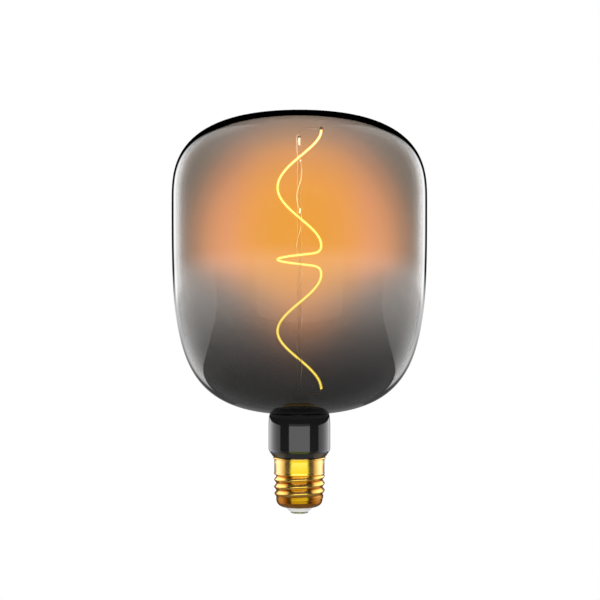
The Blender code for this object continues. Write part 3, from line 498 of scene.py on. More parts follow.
collar_low, collar_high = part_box("collar")
collar_radius = collar_high.x
collar_bore = 0.0144
spigot_radius = 0.0124
spigot_bore = 0.0112
collar_foot = 0.0292
collar_outline = eased([
    (spigot_radius, collar_low.z, 0.0004), (spigot_radius, collar_foot, 0.0002),
    (lip_radius + 0.0001, collar_foot, 0.0003), (collar_radius, 0.0325, 0.0011),
    (collar_radius, 0.0462, 0.0016), (collar_radius - 0.00030, 0.0500, 0.0006),
    (collar_radius - 0.00062, collar_high.z, 0.0004), (collar_bore + 0.0007, collar_high.z, 0.0002),
    (collar_bore + 0.0003, 0.0506, 0.0002), (collar_bore, 0.0500, 0.0002),
    (collar_bore, 0.0339, 0.0003), (spigot_bore, 0.0318, 0.0003),
    (spigot_bore, collar_low.z, 0.0004)], 0.0003, steps=6)

# Injection-moulded gloss ABS: deep black, a clear sharp sheen, and faint hairline scuffs.
piano_black, tree, shader = new_finish("gloss_black_abs", IOR=1.53, Base_Color=srgb("1E1E1F"))
coords = add_node(tree, "TexCoord").outputs["Object"]
haze = noise(tree, coords, 120.0, 3.0)
rough = between(tree, haze, 0.035, 0.09)
tree.links.new(rough, shader.inputs["Roughness"])
ripple = noise(tree, coords, 45.0)
relief(tree, shader, ripple, 0.10, 0.0003)

fit_piece(skin("gloss_collar", turned(collar_outline, 160), joined=True), piano_black,
          "black_gloss", "collar")


# ------------------------------------------------------------------ stem
# Lead-free glass tube, flared to meet the neck and pinched flat at its top round the two leads.
# The pumping tube inside it is melted shut.

stem_low, stem_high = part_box("stem_flare")
stem_wall = 0.0009
stem_tube = 0.0055
pinch_foot = 0.0515


def stem_rings(segments=72):
    """Rings from the cavity's top down its bore, round the flange and up outside to the pinch.

    The trumpet's radius is tube + (flange - tube)(1 - share)^6 of its height; in the pinch the
    ring's depth shrinks to that of a flat bar.
    """
    turn = np.linspace(0.0, math.tau, segments, endpoint=False)
    share = np.linspace(0, 1, 26) ** 1.4
    flange = stem_high.x
    radius = stem_tube + (flange - stem_tube) * (1 - share) ** 6
    height = stem_low.z + (pinch_foot - 0.0017 - stem_low.z) * share
    inside = np.stack([radius - stem_wall, radius - stem_wall, height], axis=-1)[::-1]
    outside = np.stack([radius, radius, height], axis=-1)
    outside[0, 2] += stem_wall / 3
    rise = np.linspace(0, 1, 9)[1:]
    ease = rise * rise * (3 - 2 * rise)
    depth = stem_tube + (0.0023 - stem_tube) * ease
    bar = np.stack([np.full(8, stem_tube), depth, pinch_foot - 0.0017 + 0.0030 * rise], axis=-1)
    top = np.array([[stem_tube, 0.0023, 0.0585], [stem_tube * 0.985, 0.0022, 0.0592],
                    [stem_tube * 0.93, 0.0019, 0.0597], [stem_tube * 0.84, 0.0014, stem_high.z],
                    [0.0, 0.0, stem_high.z]])
    roof = np.array([[0.0, 0.0, inside[0, 2] + 0.0006], [
        inside[0, 0] * 0.7, inside[0, 0] * 0.7, inside[0, 2] + 0.0005]])
    sizes = np.concatenate([roof, inside, outside, bar, top])
    return np.stack([sizes[:, :1] * np.cos(turn), sizes[:, 1:2] * np.sin(turn),
                     np.repeat(sizes[:, 2:], segments, axis=1)], axis=-1)


def bare_finish(name):
    """A material with no shader yet."""
    material, tree, shader = new_finish(name)
    tree.nodes.remove(shader)
    return material, tree


def show(tree, shader_output):
    """Makes this shader the material's surface."""
    tree.links.new(shader_output, tree.nodes["Material Output"].inputs["Surface"])


def rim_gloss(tree, normal=None):
    """Schlick's share of reflected light: 0.043 + 0.957 (1 - cos)^5, the same from both sides."""
    facing = add_node(tree, "LayerWeight", {"Blend": 0.5} | ({"Normal": normal} if normal else {}))
    steep = add_node(tree, "Math", {0: facing.outputs["Facing"], 1: 5.0}, operation="POWER")
    share = add_node(tree, "MapRange", {"Value": steep.outputs["Value"], "To Min": 0.043})
    return facing.outputs["Facing"], share.outputs["Result"]


def clear_glass(name, tint, roughness=0.0, edge=0.0):
    """Thin clear glass: a tinted see-through part under a sharp gloss, more of it at the rim.

    The edge share is of white diffuse at the sides: a painted sheen for the light that a drawn rod shows
    along its sides.
    """
    material, tree = bare_finish(name)
    coords = add_node(tree, "TexCoord").outputs["Object"]
    ripple = noise(tree, coords, 240.0)
    bump = add_node(tree, "Bump", {"Height": ripple, "Strength": 0.3, "Distance": 0.0002})
    facing, share = rim_gloss(tree, bump.outputs["Normal"])
    through = add_node(tree, "BsdfTransparent", {"Color": tint})
    gloss = add_node(tree, "BsdfGlossy", {"Roughness": roughness, "Normal": bump.outputs["Normal"]})
    mix = add_node(tree, "MixShader", {0: share, 1: through.outputs["BSDF"], 2: gloss.outputs["BSDF"]})
    if edge:
        # Painted edge sheen: white diffuse mixed in towards the rim.
        edge_sheen_white = add_node(tree, "BsdfDiffuse", {"Color": srgb("FAFAF6")})
        side = math_node(tree, "MULTIPLY", math_node(tree, "POWER", facing, 2.5), edge)
        mix = add_node(tree, "MixShader", {0: side, 1: mix.outputs["Shader"], 2: edge_sheen_white.outputs["BSDF"]})
    show(tree, mix.outputs["Shader"])
    return material


# Soda-lime glass, flame-worked: clear, slightly grey in its thickness, with drawn ripples.
stem_glass = clear_glass("flame_worked_stem_glass", srgb("E4E6E2"), 0.02)
fit_piece(skin("stem", stem_rings()), stem_glass, "clear_glass", "stem_flare")

tube_low, tube_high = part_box("exhaust_tube")
tube_radius = tube_high.x
tube_bore = 0.0012
tip = np.linspace(0, math.pi / 2, 8)
tube_outline = np.concatenate([
    np.stack([tube_radius * np.sin(tip), tube_low.z + tube_radius * (1 - np.cos(tip))], axis=-1),
    [[tube_radius, tube_high.z - 0.0003], [tube_radius - 0.0002, tube_high.z],
     [tube_bore + 0.0002, tube_high.z], [tube_bore, tube_high.z - 0.0003], [tube_bore, 0.0412],
     [tube_bore * 0.7, 0.0405], [0.0, 0.0402]]])
fit_piece(skin("pumping_tube", turned(tube_outline, 48)), stem_glass, "clear_glass", "exhaust_tube")


# ------------------------------------------------------------------ leads
# Nickel-plated wires: two come up through the stem in woven sleeves, and two go on from the
# pinch, one to the fine wire on the rod and one to the filament's lower end.

def drawn(path, radius, lean, sides=16):
    """Rings of a wire with round ends: a circle square to the path, its first axis towards lean.

    Point = path + radius (n cos a + b sin a), with n the lean made square to the path's run and
    b = run x n; the end rings shrink along a quarter circle.
    """
    path = np.asarray(path, dtype=float)
    run = np.gradient(path, axis=0)
    run /= np.linalg.norm(run, axis=1, keepdims=True)
    cap = 5
    quarter = np.linspace(0, math.pi / 2, cap)
    start = path[0] - run[0] * radius * (np.cos(quarter)[:, None]) + run[0] * radius
    end = path[-1] + run[-1] * radius * (np.sin(quarter)[:, None]) - run[-1] * radius
    keep = slice(1, -1)
    width = np.concatenate([np.sin(quarter), np.ones(len(path) - 2), np.cos(quarter)]) * radius
    width[[0, -1]] = 0.0
    lean = np.broadcast_to(np.asarray(lean, dtype=float), path.shape)
    lean = np.concatenate([np.repeat(lean[:1], cap, 0), lean[keep], np.repeat(lean[-1:], cap, 0)])
    run = np.concatenate([np.repeat(run[:1], cap, 0), run[keep], np.repeat(run[-1:], cap, 0)])
    path = np.concatenate([start, path[keep], end])
    n = lean - (lean * run).sum(1, keepdims=True) * run
    n /= np.linalg.norm(n, axis=1, keepdims=True)
    b = np.cross(run, n)
    angle = np.linspace(0, math.tau, sides, endpoint=False)
    circle = n[:, None] * np.cos(angle)[:, None] + b[:, None] * np.sin(angle)[:, None]
    return path[:, None] + circle * width[:, None, None]


def flowing(knots, steps=8):
    """Points of a Catmull-Rom curve through the knots."""
    knots = np.asarray(knots, dtype=float)
    ends = np.concatenate([[2 * knots[0] - knots[1]], knots, [2 * knots[-1] - knots[-2]]])
    t = np.linspace(0, 1, steps, endpoint=False)[:, None]
    path = [0.5 * (2 * b + (c - a) * t + (2 * a - 5 * b + 4 * c - d) * t ** 2
                   + (3 * b - a - 3 * c + d) * t ** 3)
            for a, b, c, d in zip(ends, ends[1:], ends[2:], ends[3:])]
    return np.concatenate(path + [knots[-1:]])


# Drawn nickel wire: bright warm grey, streaked along its length by the drawing die.
nickel = mottled("drawn_nickel_wire", 1500.0, "C8C3B8", "F0ECE4", (0.34, 0.50), spread=(0.3, 0.7),
                 detail=2.0, Metallic=1.0)[0]

lead_offset = 0.0031
lead_radius = 0.00025
pinch_top = stem_high.z
for side, word in ((-1, "left"), (1, "right")):
    low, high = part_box("lead_wire_" + word)
    heights = np.linspace(low.z, high.z, 12)
    path = np.stack([np.full(12, side * lead_offset), np.zeros(12), heights], axis=-1)
    fit_piece(skin("stem_lead_" + word, drawn(path, lead_radius, (1, 0, 0))), nickel, "nickel",
              "lead_wire_" + word)

weld_low, weld_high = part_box("inner_lead_left")
weld = np.array([weld_high.x - lead_radius, weld_low.y + lead_radius, weld_high.z])
left_path = flowing([
    (-lead_offset, 0, pinch_top + 0.0003), (-lead_offset, weld[1] * 0.2, pinch_top + 0.0017),
    (weld[0] - 0.0006, weld[1], weld[2] - 0.0028), weld])
fit_piece(skin("rod_lead", drawn(left_path, lead_radius, (0, 1, 0.2))), nickel, "nickel",
          "inner_lead_left")

# The lead to the filament's foot is the same wire.
cover(nickel, "inner_lead_right")

# Woven glass fibre, pushed over the stem leads: white, with a crossed braid 0.4 mm wide.
braid, tree, shader = new_finish("woven_glass_sleeve", Roughness=0.7)
coords = add_node(tree, "TexCoord").outputs["Object"]
lean = add_node(tree, "Mapping", {"Vector": coords, "Rotation": (0, 0.6, 0)})
weave = add_node(tree, "TexChecker", {"Vector": lean.outputs["Vector"], "Scale": 2500.0,
                                      "Color1": srgb("E6E2D8"), "Color2": srgb("FAF8F2")})
tree.links.new(weave.outputs["Color"], shader.inputs["Base Color"])
relief(tree, shader, weave.outputs["Fac"], 0.5, 0.00006)
cover(braid, "lead_sleeve_left", "lead_sleeve_right")


# ------------------------------------------------------------------ rod
# A thin glass rod stands in the pinch and carries the filament. Its melted tip holds a white
# ceramic bead and a dark ring, where the hook wire is anchored.

rod_low, rod_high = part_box("support_rod")
rod_radius = rod_high.x
rod_heights = np.linspace(0, 1, 90)
swell = 1 - 0.05 * np.abs(np.sin(rod_heights * 21.0)) ** 3
rod_profile = np.stack([rod_radius * swell, rod_low.z + 0.0004
                        + (rod_high.z - rod_low.z - 0.0010) * rod_heights], axis=-1)
rod_outline = np.concatenate([[[0, rod_low.z], [rod_radius * 0.8, rod_low.z + 0.0001]], rod_profile,
                              [[rod_radius * 0.85, rod_high.z - 0.0003],
                               [rod_radius * 0.5, rod_high.z - 0.0001], [0, rod_high.z]]])
# The rod's pale sides are a painted edge sheen.
rod_glass = clear_glass("drawn_rod_glass", srgb("FBFBF8"), edge=0.95)
fit_piece(skin("glass_rod", turned(rod_outline, 32)), rod_glass, "clear_glass", "support_rod")

bead_low, bead_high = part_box("rod_bead")
bead_radius = bead_high.x
bead_outline = eased([
    (0, bead_low.z), (bead_radius, bead_low.z, 0.0003), (bead_radius, bead_high.z, 0.0003),
    (0, bead_high.z)], 0.0003)
# Steatite bead, fired and unglazed: chalk white.
steatite = mottled("fired_steatite", 2200.0, "E8E4DA", "FFFDF6", (0.45, 0.45), spread=(0.3, 0.7),
                   detail=2.0)[0]
fit_piece(skin("steatite_bead", turned(bead_outline, 32)), steatite, "white_ceramic", "rod_bead")

ring_low, ring_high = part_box("bead_ring")
ring_outline = eased([(0, ring_low.z), (ring_high.x, ring_low.z, 0.00012),
                      (ring_high.x, ring_high.z, 0.00012), (0, ring_high.z)], 0.0001)
# Oxidised steel, pressed: almost black, half dull.
dark_steel = mottled("oxidised_steel", 1800.0, "2A2622", "57504A", (0.5, 0.5), spread=(0.3, 0.7),
                     detail=2.0, Metallic=1.0)[0]
fit_piece(skin("anchor_ring", turned(ring_outline, 32)), dark_steel, "nickel", "bead_ring")


# ------------------------------------------------------------------ filament
# LED chips in a row on a flexible strip, dipped in yellow phosphor silicone and wound into a
# spiral of three turns. A flat metal lug ends the strip at each end.

filament_low, filament_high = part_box("filament")
filament_radius = 0.00072
coil_radius = (filament_high.x - filament_low.x) / 2 - 0.0007
coil_turns = 3
coil_top = 0.1969
coil_foot = 0.0637
middle_pitch = 0.0082
blend_turns = 0.208
core_radius = 0.00036
led_pitch = 0.0013
filament_drive = [(0.0, 8.0), (0.12, 5.5), (0.25, 3.2), (0.40, 2.9), (0.60, 4.6), (1.0, 5.0)]


def coil_height(turns):
    """Height after these turns down from the top end.

    The pitch is steep, eases into the flat middle turn over part of a turn, and eases out
    again; the steep pitch is what makes the coil end at its foot.
    """
    grid = np.linspace(0, coil_turns, 4000)
    into = np.clip((grid - (coil_turns - 1) / 2) / blend_turns + 0.2, 0, 1)
    out = np.clip((grid - (coil_turns + 1) / 2) / blend_turns + 0.8, 0, 1)
    flat = into * into * (3 - 2 * into) - out * out * (3 - 2 * out)
    step = grid[1] - grid[0]
    flat_length = np.concatenate([[0], np.cumsum((flat[1:] + flat[:-1]) / 2) * step])
    steep = (coil_top - coil_foot - middle_pitch * flat_length[-1]) / (coil_turns - flat_length[-1])
    drop = steep * (grid - flat_length) + middle_pitch * flat_length
    return coil_top - np.interp(turns, grid, drop)


def coil_path(count, first=0.0, last=coil_turns):
    """Points down the right-handed coil, and the outward direction at each."""
    turns = np.linspace(first, last, count)
    angle = -math.tau * turns
    outward = np.stack([np.cos(angle), np.sin(angle), np.zeros(count)], axis=-1)
    path = outward * coil_radius
    path[:, 2] = coil_height(turns)
    return path, outward


def mark_length(piece, count):
    """Stores how far along its length each point of a drawn piece lies, in metres, as 'along'."""
    co = np.empty(len(piece.data.vertices) * 3)
    piece.data.vertices.foreach_get("co", co)
    co = co.reshape(-1, 3)
    path = coil_path(count)[0]
    length = np.concatenate([[0], np.cumsum(np.linalg.norm(np.diff(path, axis=0), axis=1))])
    along = np.empty(len(co))
    for block in range(0, len(co), 4096):
        part = co[block:block + 4096]
        nearest = np.argmin(((part[:, None] - path[None]) ** 2).sum(-1), axis=1)
        along[block:block + 4096] = length[nearest]
    layer = piece.data.attributes.new("along", 'FLOAT', 'POINT')
    layer.data.foreach_set("value", along.astype(np.float32))


def lit_finish(name, colours):
    """A bare material, with its colour and its light's strength as they run up the coil."""
    material, tree = bare_finish(name)
    coords = add_node(tree, "TexCoord").outputs["Object"]
    height = add_node(tree, "SeparateXYZ", {"Vector": coords})
    limits = {"Value": height.outputs["Z"], "From Min": coil_foot, "From Max": coil_top}
    share = add_node(tree, "MapRange", limits).outputs["Result"]
    return material, tree, graded(tree, share, colours), graded(tree, share, filament_drive)


path, outward = coil_path(520)
strip_core = skin("filament_core", drawn(path, core_radius, outward, 12))
mark_length(strip_core, 2600)
# Lit chips under phosphor: pale yellow light, a little brighter over each chip in the row.
lit_core, tree, tone, drive = lit_finish("lit_led_strip", [
    (0.0, srgb("FFEC78")), (0.35, srgb("FFF0A0")), (0.6, srgb("FFF9DC")), (1.0, srgb("FFFBE6"))])
along = add_node(tree, "Attribute", attribute_name="along")
chip = math_node(tree, "MULTIPLY", along.outputs["Fac"], math.tau / led_pitch)
chip = math_node(tree, "COSINE", chip)
power = add_node(tree, "MapRange", {"Value": chip, "From Min": -1.0, "To Min": 0.92, "To Max": 1.12})
power = math_node(tree, "MULTIPLY", power.outputs["Result"], drive)
light = add_node(tree, "Emission", {"Color": tone, "Strength": power})
show(tree, light.outputs["Emission"])
strip_core.data.materials.append(lit_core)
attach(strip_core, "root")

# Phosphor silicone, dipped: a clear amber jelly that glows at its rim round the bright strip.
jelly, tree, tone, drive = lit_finish("lit_phosphor_silicone", [
    (0.0, srgb("FAD838")), (0.45, srgb("F8CC34")), (1.0, srgb("FFBE2A"))])
light = add_node(tree, "Emission", {"Color": tone, "Strength": drive})
through = add_node(tree, "BsdfTransparent", {"Color": srgb("FFFBEE")})
mix = add_node(tree, "MixShader", {0: 0.34, 1: through.outputs["BSDF"], 2: light.outputs["Emission"]})
show(tree, mix.outputs["Shader"])
silicone = skin("filament_silicone", drawn(path, filament_radius, outward, 20))
fit_piece(silicone, jelly, "led_phosphor", "filament")

# Nickel-plated steel lugs, stamped flat and welded to the strip's ends: pale grey, lightly rubbed.
cover(mottled("plated_steel_lug", 900.0, "A9A59C", "DAD6CC", (0.22, 0.38), 0.15, Metallic=1.0)[0],
      "filament_tab_top", "filament_tab_bottom")


# ------------------------------------------------------------------ hook and return wire
# A stiff nickel wire bends over from the rod's tip to the filament's top end, and a fine
# lacquered copper wire winds down round the rod to take the current back.

hook_radius = 0.0002
rise = coil_top + 0.0007
hook_start = ring_high.z + 0.0003
hook_end = np.array([coil_radius - 0.0012, 0.0, coil_top + 0.00042])
hook_path = flowing([
    (0, 0, hook_start), (0, 0, hook_start + (rise - hook_start) * 0.45),
    (coil_radius * 0.20, 0, rise - hook_radius), (coil_radius * 0.58, 0, rise + hook_radius),
    hook_end], 12)
fit_piece(skin("hook_wire", drawn(hook_path, hook_radius, (0, 1, 0), 12)), nickel, "nickel",
          "top_hook_wire")

wire_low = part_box("return_wire")[0]
wire_radius = 0.00013
wire_loop = 0.00135
wire_pitch = 0.0253
wire_crest = 0.1753
wire_heights = np.linspace(wire_low.z, rod_high.z, 420)
angle = math.tau * (wire_heights - wire_crest) / wire_pitch
wander = 1 + 0.06 * np.sin(wire_heights * 410) * np.sin(wire_heights * 97)
helix = np.stack([wire_loop * wander * np.cos(angle), wire_loop * wander * np.sin(angle), wire_heights],
                 axis=-1)
beyond = helix[-1] * [1, 1, 0] / np.linalg.norm(helix[-1, :2])
tail = [beyond * 0.0012 + (0, 0, ring_low.z), beyond * 0.0012 + (0, 0, ring_high.z + 0.0003),
        beyond * 0.00062 + (0, 0, ring_high.z + 0.0009)]
wire_path = np.concatenate([helix[:-1], flowing([helix[-1]] + tail, 8)])
# White-lacquered copper: a pale, smooth, softly shining skin that catches the filament's light.
lacquered = mottled("white_lacquered_wire", 900.0, "EDE3D6", "FFFBF4", (0.25, 0.40), spread=(0.3, 0.7),
                    detail=2.0, Coat_Weight=0.6, Coat_Roughness=0.08)[0]
fit_piece(skin("rod_winding", drawn(wire_path, wire_radius, (0, 0.001, 1), 10)), lacquered, "copper",
          "return_wire")


# ------------------------------------------------------------------ globe
# Blown glass, closed by the stem. Its inside carries a vacuum-coated film of smoky metal, thin at
# the crown and dense towards the neck; the filament's warm haze on it is painted glow.

globe_low, globe_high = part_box("glass_envelope")
globe_radius = globe_high.x
crown_height = 0.0462
crown_powers = (2.54, 2.84)
glass_wall = 0.0010
globe_segments = 200
neck_radius = 0.0133
neck_fillet = 0.0023
bowl_foot = np.array([neck_radius + neck_fillet, 0.0516])
side_pull = 0.62
foot_pull = 0.99
foot_slope = 0.097


def blend(tree, share, first, second):
    """Colour that passes from the first to the second as share goes from 0 to 1."""
    inputs = {"Factor": share, 6: first, 7: second}
    return add_node(tree, "Mix", inputs, data_type='RGBA').outputs[2]


def globe_outline():
    """Outer (radius, height) from the neck's end up to the crown's middle.

    The neck is straight, a quarter circle turns it into the bowl, the bowl is one cubic Bezier
    up to the widest place, and the crown is a superellipse.
    """
    fillet = np.linspace(math.pi, math.pi / 2, 14)
    neck = np.stack([bowl_foot[0] + neck_fillet * np.cos(fillet),
                     bowl_foot[1] - neck_fillet + neck_fillet * np.sin(fillet)], axis=-1)
    widest = np.array([globe_radius, globe_high.z - crown_height])
    along_side = np.array([0, side_pull * (widest[1] - bowl_foot[1])])
    reach = foot_pull * (globe_radius - bowl_foot[0])
    t = np.linspace(0, 1, 90)[1:, None]
    bowl = ((1 - t) ** 3 * bowl_foot + 3 * (1 - t) ** 2 * t * (bowl_foot + [reach, reach * foot_slope])
            + 3 * (1 - t) * t * t * (widest - along_side) + t ** 3 * widest)
    turn = np.linspace(0, math.pi / 2, 90)[1:]
    crown = np.stack([globe_radius * np.cos(turn) ** (2 / crown_powers[0]),
                      widest[1] + crown_height * np.sin(turn) ** (2 / crown_powers[1])], axis=-1)
    crown[-1, 0] = 0.0
    return np.concatenate([[[neck_radius, globe_low.z]], neck, bowl, crown])


outside = globe_outline()
run = np.gradient(outside, axis=0)
run /= np.linalg.norm(run, axis=1, keepdims=True)
inside = outside + glass_wall * np.stack([-run[:, 1], run[:, 0]], axis=-1)
inside[0] = [neck_radius - glass_wall, globe_low.z]
inside[-1] = [0.0, globe_high.z - glass_wall]
globe = skin("coated_globe", turned(np.concatenate([inside[::-1], outside]), globe_segments))

# Clear blown glass: the outer skin, with slow swells from blowing that bend the reflections. Seen
# edge on, its see-through colour falls to black at the rim: painted shade for the deep wall's dark edge.
blown, tree = bare_finish("clear_blown_glass")
coords = add_node(tree, "TexCoord").outputs["Object"]
swell_map = noise(tree, coords, 14.0, 0.0)
bump = add_node(tree, "Bump", {"Height": swell_map, "Strength": 0.06, "Distance": 0.001})
facing, share = rim_gloss(tree)
side = add_node(tree, "NewGeometry")
near_facing = math_node(tree, "MULTIPLY", facing, math_node(
    tree, "SUBTRACT", 1.0, side.outputs["Backfacing"]))
# Painted shade: black at the rim, where the wall is seen edge on.
shade = graded(tree, near_facing, [(0.0, 1.0), (0.56, 1.0), (0.66, 0.80), (0.70, 0.62), (0.715, 0.0)])
share = math_node(tree, "MINIMUM", share, math_node(tree, "SUBTRACT", 1.06, side.outputs["Backfacing"]))
through = add_node(tree, "BsdfTransparent", {"Color": shade})
gloss = add_node(tree, "BsdfGlossy", {"Roughness": 0.0, "Normal": bump.outputs["Normal"]})
mix = add_node(tree, "MixShader", {0: share, 1: through.outputs["BSDF"], 2: gloss.outputs["BSDF"]})
show(tree, mix.outputs["Shader"])

# Smoke metal film, vacuum-coated: nearly black at the neck, and grey-brown higher up, with a faint
# dull lustre of its own. Seen square on near the filament's middle, its see-through tint turns amber:
# partly the film's own hue, partly painted glow of the filament.
film, tree = bare_finish("smoke_metal_film")
coords = add_node(tree, "TexCoord").outputs["Object"]
height = add_node(tree, "SeparateXYZ", {"Vector": coords})
level = add_node(tree, "MapRange", {"Value": height.outputs["Z"], "From Min": bowl_foot[1],
                                    "From Max": globe_high.z})
film_levels = [0.0, 0.06, 0.11, 0.175, 0.242, 0.309, 0.375, 0.442, 0.54, 0.61, 0.74, 0.81, 0.875, 1.0]
slanted = [(.10, .10, .10), (.115, .115, .115), (.13, .13, .13), (.185, .18, .18), (.275, .27, .265),
           (.38, .366, .35), (.467, .453, .438), (.50, .47, .445), (.47, .435, .395), (.46, .42, .38),
           (.45, .41, .37), (.455, .415, .375), (.49, .445, .405), (.54, .51, .485)]
film_glow_colours_facing = [(.10, .10, .10), (.115, .115, .115), (.13, .13, .13), (.185, .18, .18), (.275, .265, .255),
             (.38, .36, .335), (.467, .44, .38), (.50, .46, .33), (.46, .424, .22), (.46, .424, .21),
             (.46, .424, .22), (.47, .43, .28), (.50, .45, .35), (.54, .51, .45)]


def at_levels(colours):
    """Ramp stops that put these colours at the film's levels."""
    return [(at, colour + (1,)) for at, colour in zip(film_levels, colours)]


slanted_tint = graded(tree, level.outputs["Result"], at_levels(slanted), 'B_SPLINE')
film_glow_tint_facing = graded(tree, level.outputs["Result"], at_levels(film_glow_colours_facing), 'B_SPLINE')

# Centre, shape, colour and strength of the filament's painted glow on the film.
filament_middle = 0.140
height_share = 0.87
narrowing_rate = 15.0
painted_glow_colour = (1.0, 0.316, 0.02, 1.0)
painted_glow_strength = 2.27

# How far a line of sight passes from the filament's middle, squared, in globe radii: across, it is
# (radius at this height)^2 (1 - cos^2) against the level outward direction; up, it is the height.
outward_line = add_node(tree, "VectorMath", {0: coords, 1: (1.0, 1.0, 0.0)}, operation="MULTIPLY")
from_axis = add_node(tree, "VectorMath", {0: outward_line.outputs["Vector"]}, operation="LENGTH")
level_side = add_node(tree, "VectorMath", {0: outward_line.outputs["Vector"]}, operation="NORMALIZE")
facing = add_node(tree, "LayerWeight", {"Blend": 0.5, "Normal": level_side.outputs["Vector"]})
cosine = math_node(tree, "SUBTRACT", 1.0, facing.outputs["Facing"])
across = math_node(tree, "SUBTRACT", 1.0, math_node(tree, "MULTIPLY", cosine, cosine))
girth = math_node(tree, "POWER", math_node(tree, "DIVIDE", from_axis.outputs["Value"], globe_radius), 2.0)
across = math_node(tree, "MULTIPLY", across, girth)
up = math_node(tree, "SUBTRACT", height.outputs["Z"], filament_middle)
up = math_node(tree, "MULTIPLY", up, height_share / globe_radius)
amber_rise = math_node(tree, "MULTIPLY", math_node(tree, "MULTIPLY", up, up), 0.33)
# Painted glow in the tint: amber where the line of sight passes near the filament's middle, grey-brown
# away from it.
away_from_glow = add_node(tree, "MapRange", {
    "Value": math_node(tree, "ADD", across, amber_rise), "From Min": 0.03, "From Max": 0.30})
above = math_node(tree, "MAXIMUM", up, 0.0)
distance = math_node(tree, "MULTIPLY_ADD", above, above, across)
tint = blend(tree, away_from_glow.outputs["Result"], film_glow_tint_facing, slanted_tint)
through = add_node(tree, "BsdfTransparent", {"Color": tint})
mirror = add_node(tree, "BsdfGlossy", {"Color": srgb("FBF2EC"), "Roughness": 0.5})
lustre = add_node(tree, "MixShader", {0: 0.02, 1: through.outputs["BSDF"], 2: mirror.outputs["BSDF"]})

# Painted glow: an emission that stands for the filament's light scattered by the film, on the side turned
# to it.
painted_glow_falloff = graded(tree, distance, [
    (0.0, 0.66), (0.18, 0.655), (0.252, 0.64), (0.337, 0.58), (0.414, 0.53), (0.52, 0.41),
    (0.615, 0.275), (0.73, 0.14), (0.80, 0.08), (0.886, 0.02), (0.96, 0.0)], 'B_SPLINE')
painted_glow_by_height = graded(tree, level.outputs["Result"], [
    (0.03, 0.0), (0.09, 0.02), (0.161, 0.09), (0.233, 0.24), (0.304, 0.50), (0.375, 0.64),
    (0.447, 0.76), (0.50, 0.87), (0.572, 1.0), (0.90, 1.0), (0.95, 0.80), (1.0, 0.35)], 'B_SPLINE')
narrowing = graded(tree, level.outputs["Result"], [
    (0.0, 1.0), (0.161, 1.0), (0.233, 0.79), (0.304, 0.63), (0.375, 0.41), (0.447, 0.135), (0.50, 0.02),
    (0.54, 0.0)], 'B_SPLINE')
taper = math_node(tree, "MULTIPLY", math_node(tree, "MULTIPLY", narrowing, across), -narrowing_rate)
side = add_node(tree, "NewGeometry")
power = math_node(tree, "MULTIPLY", painted_glow_falloff, painted_glow_by_height)
power = math_node(tree, "MULTIPLY", power, math_node(tree, "EXPONENT", taper))
power = math_node(tree, "MULTIPLY", power, math_node(tree, "SUBTRACT", 1.0, side.outputs["Backfacing"]))
power = math_node(tree, "MULTIPLY", power, painted_glow_strength)
glow = add_node(tree, "Emission", {"Color": painted_glow_colour, "Strength": power})
mix = add_node(tree, "AddShader", {0: lustre.outputs["Shader"], 1: glow.outputs["Emission"]})
show(tree, mix.outputs["Shader"])

globe.data.materials.append(blown)
globe.data.materials.append(film)
rows_inside = (len(inside) - 1) * globe_segments
faces = np.zeros(len(globe.data.polygons), dtype=np.int32)
faces[:rows_inside] = 1
globe.data.polygons.foreach_set("material_index", faces)
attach(globe, "root")
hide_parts("glass_envelope")


# ------------------------------------------------------------------ neck cement
# A ring of phenolic capping cement, baked hard, bonds the glass neck into the collar.

# Baked cement: dull sandy brown, pitted by filler grains a few tenths of a millimetre wide.
cover(mottled("baked_capping_cement", 1500.0, "7A6A50", "A8977A", (0.75, 0.9), 0.8)[0], "neck_cement")


# ------------------------------------------------------------------ stage, lights and camera
# A plain pale floor well below the hanging bulb, panels and cards that only reflections see, one
# soft box above, two weak lamps for the fine wires, and a level camera.

floor_radius = 1.3
floor_height = -0.5
haze_level = 1.2
front_level = 0.36
side_level = 2.3
rim_level = 3.9
tent_radius = 0.035
tent_foot = -0.012
tent_roof = 0.0514
card_split = 0.0232
card_split_ease = 0.0004
wire_light = 0.075
camera_distance = 0.82
camera_height = 0.1095

floor_mesh = bpy.data.meshes.new("floor")
turn = np.linspace(0, math.tau, 96, endpoint=False)
floor_edge = np.stack([floor_radius * np.cos(turn), floor_radius * np.sin(turn),
                       np.full(len(turn), floor_height)], axis=-1)
floor_mesh.from_pydata(floor_edge.tolist(), [], [list(range(len(turn)))])
floor = bpy.data.objects.new("floor", floor_mesh)
bpy.context.scene.collection.objects.link(floor)
floor_paint = new_finish("pale_floor", Base_Color=srgb("F4F4F2"), Roughness=0.9)[0]
floor_mesh.materials.append(floor_paint)
floor.visible_glossy = False

# White to the eye. In reflections: a pale band below the horizon, a wide soft box in front, one
# at each side that is brighter towards the back, and a tall strip behind each shoulder.
world = bpy.data.worlds.new("studio")
bpy.context.scene.world = world
world.use_nodes = True
tree = world.node_tree
coords = add_node(tree, "TexCoord")
direction = add_node(tree, "SeparateXYZ", {"Vector": coords.outputs["Generated"]})


def soft_step(value, start, end):
    """0 before start and 1 past end, eased between."""
    limits = {"Value": value, "From Min": start, "From Max": end}
    return add_node(tree, "MapRange", limits, interpolation_type='SMOOTHSTEP').outputs["Result"]


def shade_by(value, low, high, stops):
    """Grey of a smooth ramp whose stops are (value, level) between low and high."""
    share = add_node(tree, "MapRange", {"Value": value, "From Min": low, "From Max": high})
    ramp = graded(tree, share.outputs["Result"], [
        ((at - low) / (high - low), level) for at, level in stops], 'CARDINAL')
    return ramp


